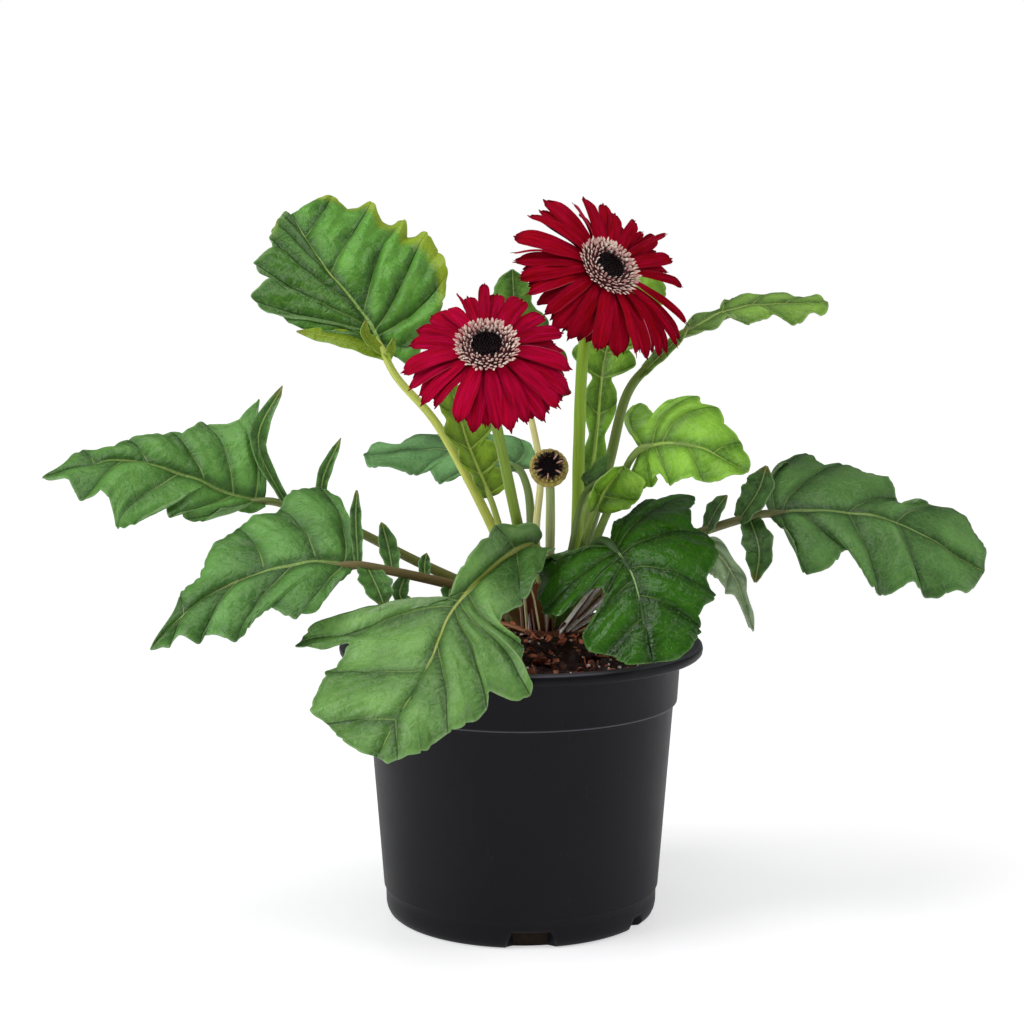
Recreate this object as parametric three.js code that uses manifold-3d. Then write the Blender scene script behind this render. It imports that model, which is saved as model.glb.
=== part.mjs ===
// Potted gerbera: a rosette of lobed leaves, two open flower heads and a bud, in a nursery pot.
// Millimetres, +Z up. The origin is the centre of the pot's base, on the surface it stands on.
import * as THREE from 'three';
import { mergeVertices } from 'three/addons/utils/BufferGeometryUtils.js';
import ManifoldModule from 'manifold-3d';

const wasm = await ManifoldModule();
wasm.setup();

// ---------------------------------------------------------------- driving dimensions

const CLEARANCE = 0.3;
const POT = { height: 125, lipRadius: 82.5, collarTop: 119.5, collarBottom: 98, segments: 36 };
// Two wide and two small notches round the foot of the pot, by their directions in degrees.
const NOTCHES = [
  { directions: [-86, 94], width: 23, topWidth: 17, height: 8 },
  { directions: [-33, 147], width: 10, topWidth: 5.5, height: 6 },
];
const NOTCH_REACH = { inner: 54, outer: 66 };
const SOIL = { floor: 4, rimHeight: 117, moundHeight: 131, plateauRadius: 36, edgeRadius: 69, segments: 30 };
const CHIP = { count: 14, nearest: 37, spread: 27, length: 4, width: 3, thickness: 3 };
const CROWN = { x: 12, y: 0, radius: 22.6, width: 2.2, height: 2.4, segments: 24 };
const STUB_HALF_THICKNESS = 0.7;
const STEM = { hole: 0.85, sides: 10, steps: 10, taper: 0.12 };
const BLADE_THICKNESS = 0.75;
const RAY = { thickness: 0.65, width: 7.3, pleat: 0.5, notch: 1, level: -1.5, layerDrop: 1.5 };
const RAY_COLLAR = { top: -1.1, foot: -4.9, width: 3, segments: 24 };
// Outline of an upper and of a lower ray: [fraction of its length, fraction of its full width]
const RAY_STATIONS = [[[0, 0.26], [0.5, 0.88], [0.82, 1], [1, 0.5]], [[0, 0.26], [0.66, 1], [1, 0.5]]];
const CUP_TOP = RAY_COLLAR.foot - CLEARANCE;
// Domes of dark florets: height and level of the foot above the head's centre, and sides
const HEAD_DOME = { height: 3.4, foot: -0.6, sides: 20 };
const BUD_DOME = { height: 1.8, foot: -1.7, sides: 14 };
// Teeth round the bands of pale florets
const BAND_TEETH = { head: 34, bud: 24 };

const COLOURS = {
  pot: 0x232326,
  soil: 0x2c1410,
  straw: 0xb89a6a,
  ray: 0xa3092a,
  rayRight: 0x9c0718,
  floret: 0xe3c4bb,
  eye: 0x16040a,
  scape: 0x6a8a38,
  bract: 0x7d7430,
};

// Each leaf: path = its stalk and midrib from foot to tip; face = direction of the upper side along it;
// lift and curl = angles in degrees of the left and right half at fractions of the path, curl being
// reached span mm from the rib; base = where the blade starts on the path;
// rows = [left along, left reach, right along, right reach] of the margin, from base to tip;
// lobes = free lobes on the stalk: [start along the path, middle point, tip point, half width].
const LEAVES = [
  {
    name: 'leaf_high_left', colour: 0x4f8a2e, stalk: [2.7, 1.7], span: 45, base: 152,
    path: [[2, 6, 123], [-1, 8, 140], [-11, 14, 170], [-37, 22, 219], [-58, 26, 244], [-70, 34, 268],
      [-92, 50, 294], [-110, 74, 318]],
    face: [[0, 0.6, -0.6, 0.5], [0.5, 0.45, -0.75, 0.45], [1, 0.3, -0.85, 0.5]],
    lift: [[0, 0, 0], [0.6, -10, 10], [1, 0, 0]],
    curl: [[0, 0, 0], [0.6, -20, 5], [1, -25, 0]],
    rows: [
      [152, 2, 148, 3], [161, 7, 142, 9], [173, 16, 147, 16], [193, 32, 157, 26], [189, 24, 164, 36],
      [205, 38, 171, 45], [209, 24, 183, 51], [219, 29, 195, 52], [223, 18, 205, 45], [232, 15, 220, 48],
      [236, 11, 225, 41], [240, 8, 236, 38], [243, 5, 240, 29], [245, 3, 247, 21], [246, 1, 249, 10],
    ],
    lobes: [
      [148.25, [-81, 28, 260], [-103, 26, 264], 4.5],
      [149.5, [-71, 26, 262], [-71, 25, 269], 3],
      [148.25, [-60, 22, 254], [-58, 20, 261], 2.5],
    ],
  },
  {
    name: 'leaf_far_left', colour: 0x577f3a, stalk: [2.7, 1.8], span: 35, base: 141,
    path: [[-2, 0, 123], [-3, 0, 136], [-11, 4, 145], [-26, 7, 150], [-48, 8, 160], [-81, 6, 177],
      [-108, 2, 187], [-128, -4, 192], [-151, -9, 202], [-178, -12, 209], [-212, -16, 201]],
    face: [[0, 0, -0.5, 0.85], [0.5, 0, -0.45, 0.9], [1, -0.25, -0.4, 0.88]],
    lift: [[0, 0, 60], [0.5, 0, 62], [0.62, 0, 45], [0.75, 0, 22], [1, 0, 0]],
    curl: [[0, 0, 0], [0.5, -20, -5], [1, -30, -20]],
    rows: [
      [141, 3, 141, 4], [156, 12, 146, 20], [162, 17, 152, 27], [172, 27, 156, 48], [175, 24, 165, 33],
      [180, 29, 178, 31], [183, 19, 184, 23], [192, 34, 191, 22], [209, 42, 199, 14], [214, 24, 206, 12],
      [227, 23, 215, 12], [231, 9, 224, 10], [236, 5, 233, 6],
    ],
    lobes: [
      [130.75, [-119, 6, 215], [-108, 10, 240], 4.5],
      [114, [-90, 8, 198], [-82, 12, 216], 3],
    ],
  },
  {
    name: 'leaf_low_left', colour: 0x557e46, stalk: [2.8, 1.9], span: 42, base: 97,
    path: [[1.5, -6, 123], [0, -8, 135], [-8, -12, 144], [-24, -17, 151], [-43, -23, 157], [-74, -34, 165],
      [-94, -41, 167], [-123, -49, 160], [-143, -55, 148], [-158, -60, 132]],
    face: [[0, 0.1, -0.6, 0.75], [0.4, -0.05, -0.62, 0.75], [1, -0.3, -0.65, 0.65]],
    lift: [[0, 0, 0]],
    curl: [[0, 0, 0], [1, -25, -15]],
    rows: [
      [99.5, 3, 95, 4], [109.5, 13, 97, 21], [120.5, 25, 100, 37], [131, 28, 106, 50], [140, 19, 115, 46],
      [154, 24, 122, 35], [166, 27, 133, 35], [172, 17, 141, 31], [181, 16, 150, 24], [184, 7, 160, 14],
      [191, 6, 173, 7], [193, 3, 183, 3],
    ],
    lobes: [
      [91, [-62, -43, 155], [-59, -47, 148], 8],
      [95.125, [-73, -22, 183], [-73, -14, 195], 3],
      [79.125, [-59, -20, 171], [-62, -16, 181], 5],
      [72.875, [-53, -32, 150], [-43, -36, 144], 4],
      [63.5, [-43, -18, 162], [-42, -14, 167], 3],
      [50.75, [-32, -24, 150], [-31, -28, 146], 4],
    ],
  },
  {
    name: 'leaf_front_left', colour: 0x5c883e, stalk: [2.8, 1.9], span: 45, base: 50,
    path: [[5, -12, 123], [5, -13, 136], [9, -19, 158], [6, -25, 172], [-8, -38, 168], [-29, -57, 150],
      [-37, -74, 134], [-44, -88, 122], [-52, -99, 110], [-59, -108, 97]],
    face: [[0, -0.5, -0.3, 0.75], [0.45, -0.3, -0.6, 0.75], [0.62, -0.22, -0.72, 0.68],
      [1, -0.25, -0.88, 0.45]],
    lift: [[0, 0, 60], [0.3, 0, 75], [0.5, 0, 70], [0.6, 0, 0], [1, 0, 0]],
    curl: [[0, 0, 0], [0.6, -20, 0], [1, -28, -25]],
    rows: [
      [52, 5, 50, 5], [56, 14, 53, 8], [68, 17, 60, 10], [88, 24, 69, 13], [105, 20, 83, 10],
      [120, 35, 100, 7], [129, 37, 111, 24], [137, 45, 119, 53], [143, 28, 135, 66], [149, 31, 138, 52],
      [157, 26, 139, 37], [165, 21, 155, 41], [174, 17, 173, 38], [180, 12, 175, 29], [184, 8, 180, 22],
      [187, 5, 185, 10],
    ],
    lobes: [],
  },
  {
    name: 'leaf_front_right', colour: 0x2e5f17, stalk: [2.8, 1.9], span: 45, base: 66,
    path: [[19, -12, 123], [20, -13, 138], [27, -20, 163], [36, -32, 175], [46, -50, 166], [51, -66, 150],
      [55, -78, 130]],
    face: [[0, -0.2, -0.5, 0.6], [0.45, -0.1, -0.6, 0.75], [1, 0.1, -0.9, 0.45]],
    lift: [[0, 0, -12], [1, 0, 0]],
    curl: [[0, -15, -25], [1, -25, -30]],
    rows: [
      [61, 3, 61, 5], [53, 11, 54, 14], [48, 27, 44, 25], [47, 44, 52, 32], [52, 54, 62, 39],
      [61, 45, 83, 41], [71, 37, 98, 35], [77, 41, 97, 27], [84, 41, 88, 17], [93, 31, 96, 13],
      [103, 33, 106, 17], [110, 25, 114, 26], [118, 24, 121, 25], [124, 18, 125, 16], [131, 10, 131, 10],
    ],
    lobes: [],
  },
  {
    name: 'leaf_far_right', colour: 0x4a7040, stalk: [2.8, 1.9], span: 36, base: 114,
    path: [[26, 0, 123], [27.5, 0, 135], [36, 2, 148], [54, 5, 162], [84, 8, 174], [112, 8, 182],
      [133, 6, 184], [170, 2, 179], [209, -4, 157]],
    face: [[0, -0.2, -0.4, 0.85], [0.5, 0, -0.55, 0.8], [1, 0.3, -0.6, 0.7]],
    lift: [[0, 0, 0]],
    curl: [[0, -10, -20], [1, -25, -25]],
    rows: [
      [115, 5, 115, 3], [125, 37, 120, 11], [131, 56, 125, 21], [137, 44, 131, 35], [147, 42, 142, 29],
      [155, 41, 149, 21], [163, 34, 160, 30], [170, 17, 175, 40], [177, 15, 189, 26], [193, 32, 199, 29],
      [203, 29, 207, 20], [212, 14, 213, 17],
    ],
    lobes: [
      [83.5, [89, 4, 185], [93, 2, 191], 6],
      [99.25, [107, 4, 192], [111, 4, 204], 9],
      [104.5, [107, -6, 167], [105, -10, 153], 7],
    ],
  },
  {
    name: 'leaf_hanging_right', colour: 0x6d8a62, stalk: [2.6, 1.8], span: 20, base: 88,
    path: [[22.5, 6, 123], [26, 8, 138], [42, 18, 158], [66, 27, 168], [88, 30, 163], [101, 30, 148],
      [109, 27, 124]],
    face: [[0, -0.2, -0.3, 0.9], [0.6, 0.2, -0.3, 0.9], [1, 0.85, -0.45, 0.25]],
    lift: [[0, 0, 0]],
    curl: [[0, -10, -10], [1, -30, -30]],
    rows: [
      [88, 4, 88, 4], [96, 14, 93, 14], [104, 20, 99, 15], [111, 14, 108, 12], [118, 10, 117, 13],
      [125, 8, 120, 6], [133, 6, 129, 4],
    ],
    lobes: [],
  },
  {
    name: 'leaf_high_right', colour: 0x6a8f38, stalk: [3, 2], span: 26, base: 157,
    path: [[15.5, 6, 123], [20, 7, 142], [30, 9, 170], [40, 12, 204], [48, 15, 235], [60, 19, 250],
      [78, 24, 266], [104, 32, 276], [143, 42, 277]],
    face: [[0, -0.8, -0.4, 0.3], [0.6, -0.3, -0.45, 0.8], [0.75, -0.1, -0.35, 0.92], [1, 0.1, -0.3, 0.95]],
    lift: [[0, 0, 0]],
    curl: [[0, -10, -10], [1, -25, -25]],
    rows: [
      [158, 2, 158, 2], [168, 7, 165, 9], [181, 4, 179.4, 4], [191, 14, 184, 16], [203, 18, 193, 15],
      [213, 20, 200, 12], [220, 17, 206, 20], [226, 12, 215, 14], [231, 7, 223, 11],
    ],
    lobes: [
      [127.5, [66, 14, 256], [76, 16, 266], 5],
    ],
  },
  {
    name: 'leaf_bright_right', colour: 0x74a23d, stalk: [2.3, 1.6], span: 30, base: 101,
    path: [[22.5, -6, 123], [25, -8, 140], [33, -16, 172], [42, -25, 196], [48, -30, 211], [56, -33, 217],
      [74, -40, 218], [97, -48, 207]],
    face: [[0, 0.6, -0.4, 0.4], [0.6, 0.25, -0.75, 0.5], [1, 0.35, -0.75, 0.55]],
    lift: [[0, 0, 0]],
    curl: [[0, -10, -10], [1, -20, -20]],
    rows: [
      [101, 3, 97, 3], [104, 22, 91, 7], [107, 15, 91, 13], [114, 24, 97, 16], [120, 29, 111, 14],
      [122, 23, 120, 21], [127, 26, 130, 17], [132, 17, 139, 15], [142, 12, 145, 9], [149, 6, 148, 5],
    ],
    lobes: [],
  },
  {
    name: 'leaf_young_folded', colour: 0x7da63c, stalk: [1.8, 1.3], span: 20, base: 70,
    path: [[15.5, -6, 123], [18, -8, 140], [26, -13, 166], [33, -24, 188], [44, -37, 208]],
    face: [[0, 0.4, -0.7, 0.4], [1, 0.4, -0.75, 0.3]],
    lift: [[0, 40, 40], [1, 35, 35]],
    curl: [[0, 0, 0]],
    rows: [[70, 2, 70, 2], [78, 10, 78, 10], [88, 13, 88, 13], [97, 9, 97, 10]],
    lobes: [],
  },
  {
    name: 'leaf_young_dark', colour: 0x3f6d20, stalk: [1.8, 1.3], span: 20, base: 76,
    path: [[12, -12, 123], [14, -14, 140], [21, -18, 164], [25, -17, 184], [29, -15, 195], [38, -14, 204]],
    face: [[0, 0.5, -0.7, 0.4], [1, 0.1, -0.5, 0.85]],
    lift: [[0, 0, 0]],
    curl: [[0, -20, -20]],
    rows: [[77, 2, 77, 2], [80, 8, 82, 10], [88, 8, 88, 10], [94, 5, 95, 6]],
    lobes: [],
  },
  {
    name: 'leaf_back_left', colour: 0x5b8562, stalk: [2.6, 1.8], span: 30, base: 88,
    path: [[5, 12, 123], [5, 14, 136], [5, 26, 160], [3, 44, 190], [-8, 60, 202], [-40, 70, 206],
      [-76, 70, 203]],
    face: [[0, 0, -0.9, 0.3], [0.5, 0.1, -0.5, 0.85], [1, -0.1, -0.2, 0.97]],
    lift: [[0, 0, 0]],
    curl: [[0, -10, -10], [1, -35, -20]],
    rows: [
      [88, 3, 87, 3], [92, 16, 84, 22], [98, 12, 95, 14], [108, 24, 106, 26], [115, 17, 114, 19],
      [126, 26, 124, 27], [133, 18, 132, 19], [143, 22, 142, 22], [151, 17, 151, 17], [163, 15, 163, 14],
    ],
    lobes: [],
  },
  {
    name: 'leaf_young_toothed', colour: 0x86a82c, stalk: [2, 1.4], span: 20, base: 70,
    path: [[5, 0, 123], [1, 2, 140], [-8, 6, 170], [-15, 10, 192], [-24, 13, 214], [-32, 15, 240]],
    face: [[0, 0.4, -0.8, 0.3], [1, 0.3, -0.9, 0.3]],
    lift: [[0, 0, 0]],
    curl: [[0, 0, 0]],
    rows: [
      [70, 3, 70, 3], [78, 5, 76, 12], [83, 4, 83, 5], [90, 7, 88, 14], [96, 5, 96, 6], [104, 9, 102, 15],
      [109, 6, 110, 8], [117, 8, 116, 12],
    ],
    lobes: [],
  },
  {
    name: 'leaf_upright_back', colour: 0x3f6a26, stalk: [2, 1.5], span: 30, base: 112,
    path: [[8.5, 6, 123], [8.5, 9, 140], [7, 15, 172], [9, 25, 200], [3, 35, 232], [-2, 45, 262],
      [-4, 54, 292]],
    face: [[0, 0.1, -0.9, 0.3], [1, 0.1, -0.9, 0.4]],
    lift: [[0, 0, 0]],
    curl: [[0, -10, -10]],
    rows: [
      [112, 3, 112, 3], [118, 13, 115, 21], [124.5, 10, 122, 12], [131, 19, 131, 22], [140, 14, 140, 14],
      [150, 18, 150, 16], [158, 10, 158, 9], [166, 9, 166, 8],
    ],
    lobes: [],
  },
  {
    name: 'leaf_upright_right', colour: 0x5a8038, stalk: [2.6, 1.8], span: 30, base: 60,
    path: [[19, 12, 123], [21, 16, 140], [30, 24, 180], [35, 30, 215], [38, 36, 245], [44, 42, 270],
      [56, 48, 295]],
    face: [[0, -0.1, -0.9, 0.3], [1, -0.1, -0.9, 0.4]],
    lift: [[0, 0, 0]],
    curl: [[0, -10, -10]],
    rows: [
      [60, 3, 60, 3], [85, 5, 82, 6], [97, 3, 97, 3], [112, 7, 112, 8], [124, 3, 124, 3],
      [133, 15, 132, 14], [140, 8, 140, 8], [152, 24, 150, 22], [160, 15, 158, 14], [170, 19, 170, 18],
      [178, 10, 178, 9],
    ],
    lobes: [],
  },
  {
    name: 'leaf_back_low', colour: 0x4d7836, stalk: [2.7, 1.9], span: 40, base: 62,
    path: [[12, 12, 123], [14, 18, 138], [22, 42, 151], [36, 72, 150], [50, 100, 135], [58, 118, 112]],
    face: [[0, 0, -0.4, 0.9], [1, 0.2, 0.5, 0.8]],
    lift: [[0, 0, 0]],
    curl: [[0, -15, -15], [1, -30, -30]],
    rows: [
      [62, 3, 62, 3], [70, 22, 70, 20], [78, 14, 78, 14], [88, 34, 88, 32], [96, 24, 96, 22],
      [107, 38, 107, 36], [115, 26, 115, 26], [125, 30, 125, 28], [132, 17, 132, 16], [138, 14, 138, 14],
    ],
    lobes: [],
  },
  {
    name: 'leaf_back_hanging', colour: 0x557e46, stalk: [2.5, 1.8], span: 40, base: 94,
    path: [[-4.8, 6, 123], [-6, 10, 136], [-8, 30, 146], [-12, 60, 143], [-18, 83, 132], [-26, 103, 113],
      [-32, 117, 92]],
    face: [[0, 0, -0.4, 0.9], [0.6, 0, 0.3, 0.9], [1, -0.1, 0.85, 0.5]],
    lift: [[0, 0, 0]],
    curl: [[0, -15, -15], [1, -30, -30]],
    rows: [
      [94, 3, 94, 3], [99, 20, 98, 22], [104.5, 14, 105, 15], [112, 29, 114, 28], [119, 20, 121, 21],
      [127, 25, 128, 26], [134, 15, 134, 16], [140, 12, 140, 12],
    ],
    lobes: [],
  },
];

// The cup of bracts under an open head and under the bud: [height along the head's axis, radius, scallop]
const HEAD_CUP = [[-15, 3, 0], [-12, 5, 0.2], [-8.5, 7.6, 0.4], [CUP_TOP - 0.4, 9, 0.8], [CUP_TOP, 8.6, 0.8]];
const BUD_CUP = [[-13, 2.6, 0], [-11, 5, 0.2], [-6, 8.4, 0.3], [-2.6, 8.9, 0.4], [-2, 7.6, 0]];
// The bands of florets: [share of the width from the inner edge, height, relief]
const HEAD_BAND = [[0, -0.6, 0], [0, 2.2, 0.5], [0.3, 2.9, 0.6], [0.65, 2, 0.7], [1, 0.6, 0.5],
  [0.9, -0.6, 0]];
const BUD_BAND = [[0, -1.7, 0], [0, 0.6, 0.4], [0.5, 0.9, 0.6], [1, -0.4, 0.5], [0.9, -1.7, 0]];

// Each flower head: centre of its face, the direction it faces, its sizes, and its stalk from foot to
// neck. droop = how far the ray tips lie behind the face: on average, and more to the right and above.
const FLOWERS = [
  {
    name: 'flower_left', colour: COLOURS.ray, centre: [-14.7, -50, 260.5], facing: [0, -0.749, 0.663],
    eyeRadius: 6.4, ringRadius: 13.8, rayReach: 36.5, droop: [7.5, 0, -5], rays: 17, stalk: 2.6, seed: 3,
    cup: HEAD_CUP,
    path: [[8.5, -6, 123], [8, -8, 138], [1, -16, 168], [-5, -25, 197], [-10.5, -34, 224],
      [-14, -42, 243]],
  },
  {
    name: 'flower_right', colour: COLOURS.rayRight, centre: [39, 0, 293.3], facing: [0.478, -0.669, 0.569],
    eyeRadius: 6.6, ringRadius: 15.2, rayReach: 41.5, droop: [5.5, -3.5, -3.5], rays: 17, stalk: 2.9, seed: 8,
    cup: HEAD_CUP,
    path: [[19, 0, 123], [21, 0, 140], [25, 0, 168], [26, 1, 212], [27.5, 3, 252], [31, 8, 276]],
  },
];
const BUD = {
  name: 'bud', centre: [12.2, -20, 206.4], facing: [0, -0.94, 0.34],
  eyeRadius: 4.6, ringRadius: 8.2, stalk: 2.3, cup: BUD_CUP,
  path: [[12, 0, 123], [12.5, -2, 140], [13, -8, 172], [13, -10, 193]],
};

// Dried stubs of old stalks round the crown: [angle in degrees, length, rise in degrees, half width]
const STUBS = [
  [-62, 26, 62, 1.7], [-46, 28, 56, 2.3], [-38, 24, 42, 2.2], [-58, 20, 30, 2], [40, 13, 50, 1.6],
  [66, 15, 40, 1.8], [112, 14, 42, 1.6], [222, 14, 14, 2], [236, 18, 24, 2.4], [246, 24, 70, 1.8],
  [258, 20, 74, 2.2],
];

// ---------------------------------------------------------------- helpers

const vec = (p) => new THREE.Vector3(...p);
const rad = THREE.MathUtils.degToRad;

// Seeded random numbers from 0 to 1, the same at every run.
function randomFrom(seed) {
  let state = seed * 7919 + 17;
  return () => {
    state = (state * 16807) % 2147483647;
    return state / 2147483647;
  };
}

// Linear interpolation in a table of rows [position, value, value, ...].
function tableAt(table, position) {
  let k = 0;
  while (k < table.length - 2 && position > table[k + 1][0]) k += 1;
  const low = table[k];
  const high = table[Math.min(k + 1, table.length - 1)];
  const width = high[0] - low[0];
  const t = width > 0 ? THREE.MathUtils.clamp((position - low[0]) / width, 0, 1) : 0;
  return low.slice(1).map((value, n) => value + (high[n + 1] - value) * t);
}

// A closed body through rings of points, all of one count, with a flat cap at each end. Rings run
// counterclockwise as seen from the last ring. With twoFaced the second half of each ring is the
// underside of the first half and gets the same triangles.
function loft(rings, twoFaced = false) {
  const count = rings[0].length;
  const positions = rings.flat().flatMap((p) => [p.x, p.y, p.z]);
  const index = [];
  for (let i = 0; i < rings.length - 1; i += 1) {
    for (let j = 0; j < count; j += 1) {
      const next = (j + 1) % count;
      const a = i * count + j;
      const b = i * count + next;
      const c = a + count;
      const d = b + count;
      if (twoFaced && j >= count / 2) index.push(a, b, c, b, d, c);
      else index.push(a, b, d, a, d, c);
    }
  }
  const last = (rings.length - 1) * count;
  for (let j = 1; j < count - 1; j += 1) {
    index.push(0, j + 1, j);
    index.push(last, last + j, last + j + 1);
  }
  const geometry = new THREE.BufferGeometry();
  geometry.setAttribute('position', new THREE.Float32BufferAttribute(positions, 3));
  geometry.setIndex(index);
  return geometry;
}

function toSolid(geometry) {
  const plain = geometry.clone();
  plain.deleteAttribute('normal');
  plain.deleteAttribute('uv');
  const merged = mergeVertices(plain, 1e-4);
  return new wasm.Manifold(new wasm.Mesh({
    numProp: 3,
    vertProperties: new Float32Array(merged.attributes.position.array),
    triVerts: new Uint32Array(merged.index.array),
  }));
}

function toGeometry(solid) {
  const mesh = solid.getMesh();
  const geometry = new THREE.BufferGeometry();
  geometry.setAttribute('position', new THREE.BufferAttribute(new Float32Array(mesh.vertProperties), 3));
  geometry.setIndex([...mesh.triVerts]);
  return geometry;
}

// Joins closed geometries that overlap, and leaves out any stray sliver beside the joined body.
function join(geometries) {
  const joined = geometries.map(toSolid).reduce((a, b) => a.add(b));
  return toGeometry(joined.decompose().reduce((a, b) => (a.volume() > b.volume() ? a : b)));
}

function cut(geometry, cutters) {
  return toGeometry(cutters.map(toSolid).reduce((a, b) => a.subtract(b), toSolid(geometry)));
}

// A body of revolution about +Z from its outline as [radius, height] points.
function lathe(outline, segments) {
  const points = outline.map(([r, z]) => new THREE.Vector2(r, z));
  return new THREE.LatheGeometry(points, segments).rotateX(Math.PI / 2);
}

// A ring of points round a line. Its first point lies towards across, or towards +Z by default.
function ringAround(centre, direction, radius, sides, across = null, phase = 0.5) {
  const u = (across ?? new THREE.Vector3(0, 0, 1)).clone();
  u.addScaledVector(direction, -u.dot(direction));
  if (u.lengthSq() < 1e-6) u.set(1, 0, 0).addScaledVector(direction, -direction.x);
  u.normalize();
  const v = new THREE.Vector3().crossVectors(direction, u);
  return Array.from({ length: sides }, (_, k) => {
    const angle = ((k + phase) / sides) * 2 * Math.PI;
    const r = typeof radius === 'function' ? radius(k) : radius;
    return centre.clone().addScaledVector(u, r * Math.cos(angle)).addScaledVector(v, r * Math.sin(angle));
  });
}

// A stalk or midrib: a smooth curve through points, measured by length along it.
class Path {
  constructor(points) {
    this.curve = new THREE.CatmullRomCurve3(points.map(vec), false, 'catmullrom', 0.5);
    this.curve.arcLengthDivisions = 400;
    this.length = this.curve.getLength();
  }

  at(x) {
    return this.curve.getPointAt(THREE.MathUtils.clamp(x / this.length, 0, 1));
  }

  tangent(x) {
    const step = 1;
    return this.at(x + step).sub(this.at(x - step)).normalize();
  }
}

// ---------------------------------------------------------------- leaves

// The leaf's surface: from flat coordinates (x along the rib, y across, left positive) to space,
// with the direction that the upper side faces there.
function leafSurface(leaf) {
  const path = new Path(leaf.path);
  const frame = (x) => {
    const along = path.tangent(x);
    const face = vec(tableAt(leaf.face, x / path.length));
    face.addScaledVector(along, -face.dot(along)).normalize();
    return { along, face, side: new THREE.Vector3().crossVectors(face, along) };
  };
  const at = (x, y) => {
    const held = THREE.MathUtils.clamp(x, leaf.base, path.length);
    const { along, face, side } = frame(held);
    const half = y >= 0 ? 0 : 1;
    const lift = rad(tableAt(leaf.lift, held / path.length)[half]);
    const reach = Math.abs(y);
    const bend = rad(tableAt(leaf.curl, held / path.length)[half]) * reach / leaf.span;
    const flat = Math.abs(bend) < 1e-4;
    const out = flat ? reach * Math.cos(lift) : reach * (Math.sin(lift + bend) - Math.sin(lift)) / bend;
    const up = flat ? reach * Math.sin(lift) : reach * (Math.cos(lift) - Math.cos(lift + bend)) / bend;
    const sign = y >= 0 ? 1 : -1;
    const point = path.at(held).addScaledVector(along, x - held);
    point.addScaledVector(side, sign * out).addScaledVector(face, up);
    const tilt = lift + bend;
    const normal = face.clone().multiplyScalar(Math.cos(tilt)).addScaledVector(side, -sign * Math.sin(tilt));
    return { point, normal };
  };
  return { path, frame, at };
}

// Where the side vein of each margin row leaves the rib: behind its end, and always further on.
function veinFeet(leaf, length) {
  const spread = 0.5;
  const step = 1.4;
  let last = leaf.base - step;
  return leaf.rows.map(([leftAlong, leftReach, rightAlong, rightReach], k) => {
    const wanted = (leftAlong + rightAlong) / 2 - spread * (leftReach + rightReach) / 2;
    const most = length - step * (leaf.rows.length - k);
    last = Math.min(Math.max(wanted, last + step), most);
    return last;
  });
}

const stalkRings = (leaf) => Math.max(4, Math.round(leaf.base / 17));

function leafBlade(leaf) {
  const { path, frame, at } = leafSurface(leaf);
  const [footRadius, neckRadius] = leaf.stalk;
  const rings = [];
  const lowerRight = 3;
  const count = stalkRings(leaf);
  for (let k = 0; k < count; k += 1) {
    const x = (leaf.base * k) / count;
    const { along, face } = frame(x);
    const radius = THREE.MathUtils.lerp(footRadius, neckRadius, k / count);
    const ring = ringAround(path.at(x), along, radius, STEM.sides, face, 0);
    rings.push([...ring.slice(lowerRight), ...ring.slice(0, lowerRight)]);
  }
  const feet = veinFeet(leaf, path.length);
  const steps = [1, 0.5, 0, -0.5, -1];
  leaf.rows.forEach(([leftAlong, leftReach, rightAlong, rightReach], k) => {
    const foot = feet[k];
    const wither = 1 - (foot - leaf.base) / (path.length - leaf.base);
    const keel = BLADE_THICKNESS + neckRadius * (0.2 + 1.3 * wither);
    const top = [];
    const under = [];
    steps.forEach((step) => {
      const share = Math.abs(step);
      const along = step > 0 ? leftAlong : rightAlong;
      const reach = step > 0 ? leftReach : -rightReach;
      const { point, normal } = at(THREE.MathUtils.lerp(foot, along, share), reach * share);
      top.push(point);
      under.unshift(point.clone().addScaledVector(normal, step === 0 ? -keel : -BLADE_THICKNESS));
    });
    rings.push([...top.reverse(), ...under.reverse()].reverse());
  });
  const tip = path.at(path.length);
  const { face, side } = frame(path.length);
  const tipHalf = 0.8;
  const tipTop = steps.map((step) => tip.clone().addScaledVector(side, step * tipHalf));
  const tipUnder = tipTop.map((p) => p.clone().addScaledVector(face, -BLADE_THICKNESS)).reverse();
  rings.push([...tipUnder, ...tipTop]);
  return rings;
}

// A free lobe on a leaf stalk: a small tapered blade from the stalk over its middle point to its tip.
function leafLobe(leaf, [start, middle, end, halfWidth]) {
  const { path, frame } = leafSurface({ ...leaf, base: 0 });
  const root = path.at(start);
  const rib = new Path([root.toArray(), middle, end]);
  const { face, along: stalkAlong } = frame(start);
  const outline = [[0, 0.6], [0.4, 1], [0.75, 0.8], [1, 0.1]];
  const rings = outline.map(([t, share]) => {
    const along = rib.tangent(t * rib.length);
    const across = new THREE.Vector3().crossVectors(face, along);
    if (across.lengthSq() < 0.1) across.copy(stalkAlong);
    across.addScaledVector(along, -across.dot(along)).normalize();
    const up = new THREE.Vector3().crossVectors(along, across);
    const centre = rib.at(t * rib.length);
    const left = centre.clone().addScaledVector(across, halfWidth * share);
    const right = centre.clone().addScaledVector(across, -halfWidth * share);
    const drop = up.multiplyScalar(-BLADE_THICKNESS);
    return [left, right, right.clone().add(drop), left.clone().add(drop)];
  });
  return loft(rings, true);
}

function makeLeaf(leaf) {
  const blade = loft(leafBlade(leaf), true);
  return join([blade, ...leaf.lobes.map((lobe) => leafLobe(leaf, lobe))]);
}

// ---------------------------------------------------------------- flowers

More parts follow.
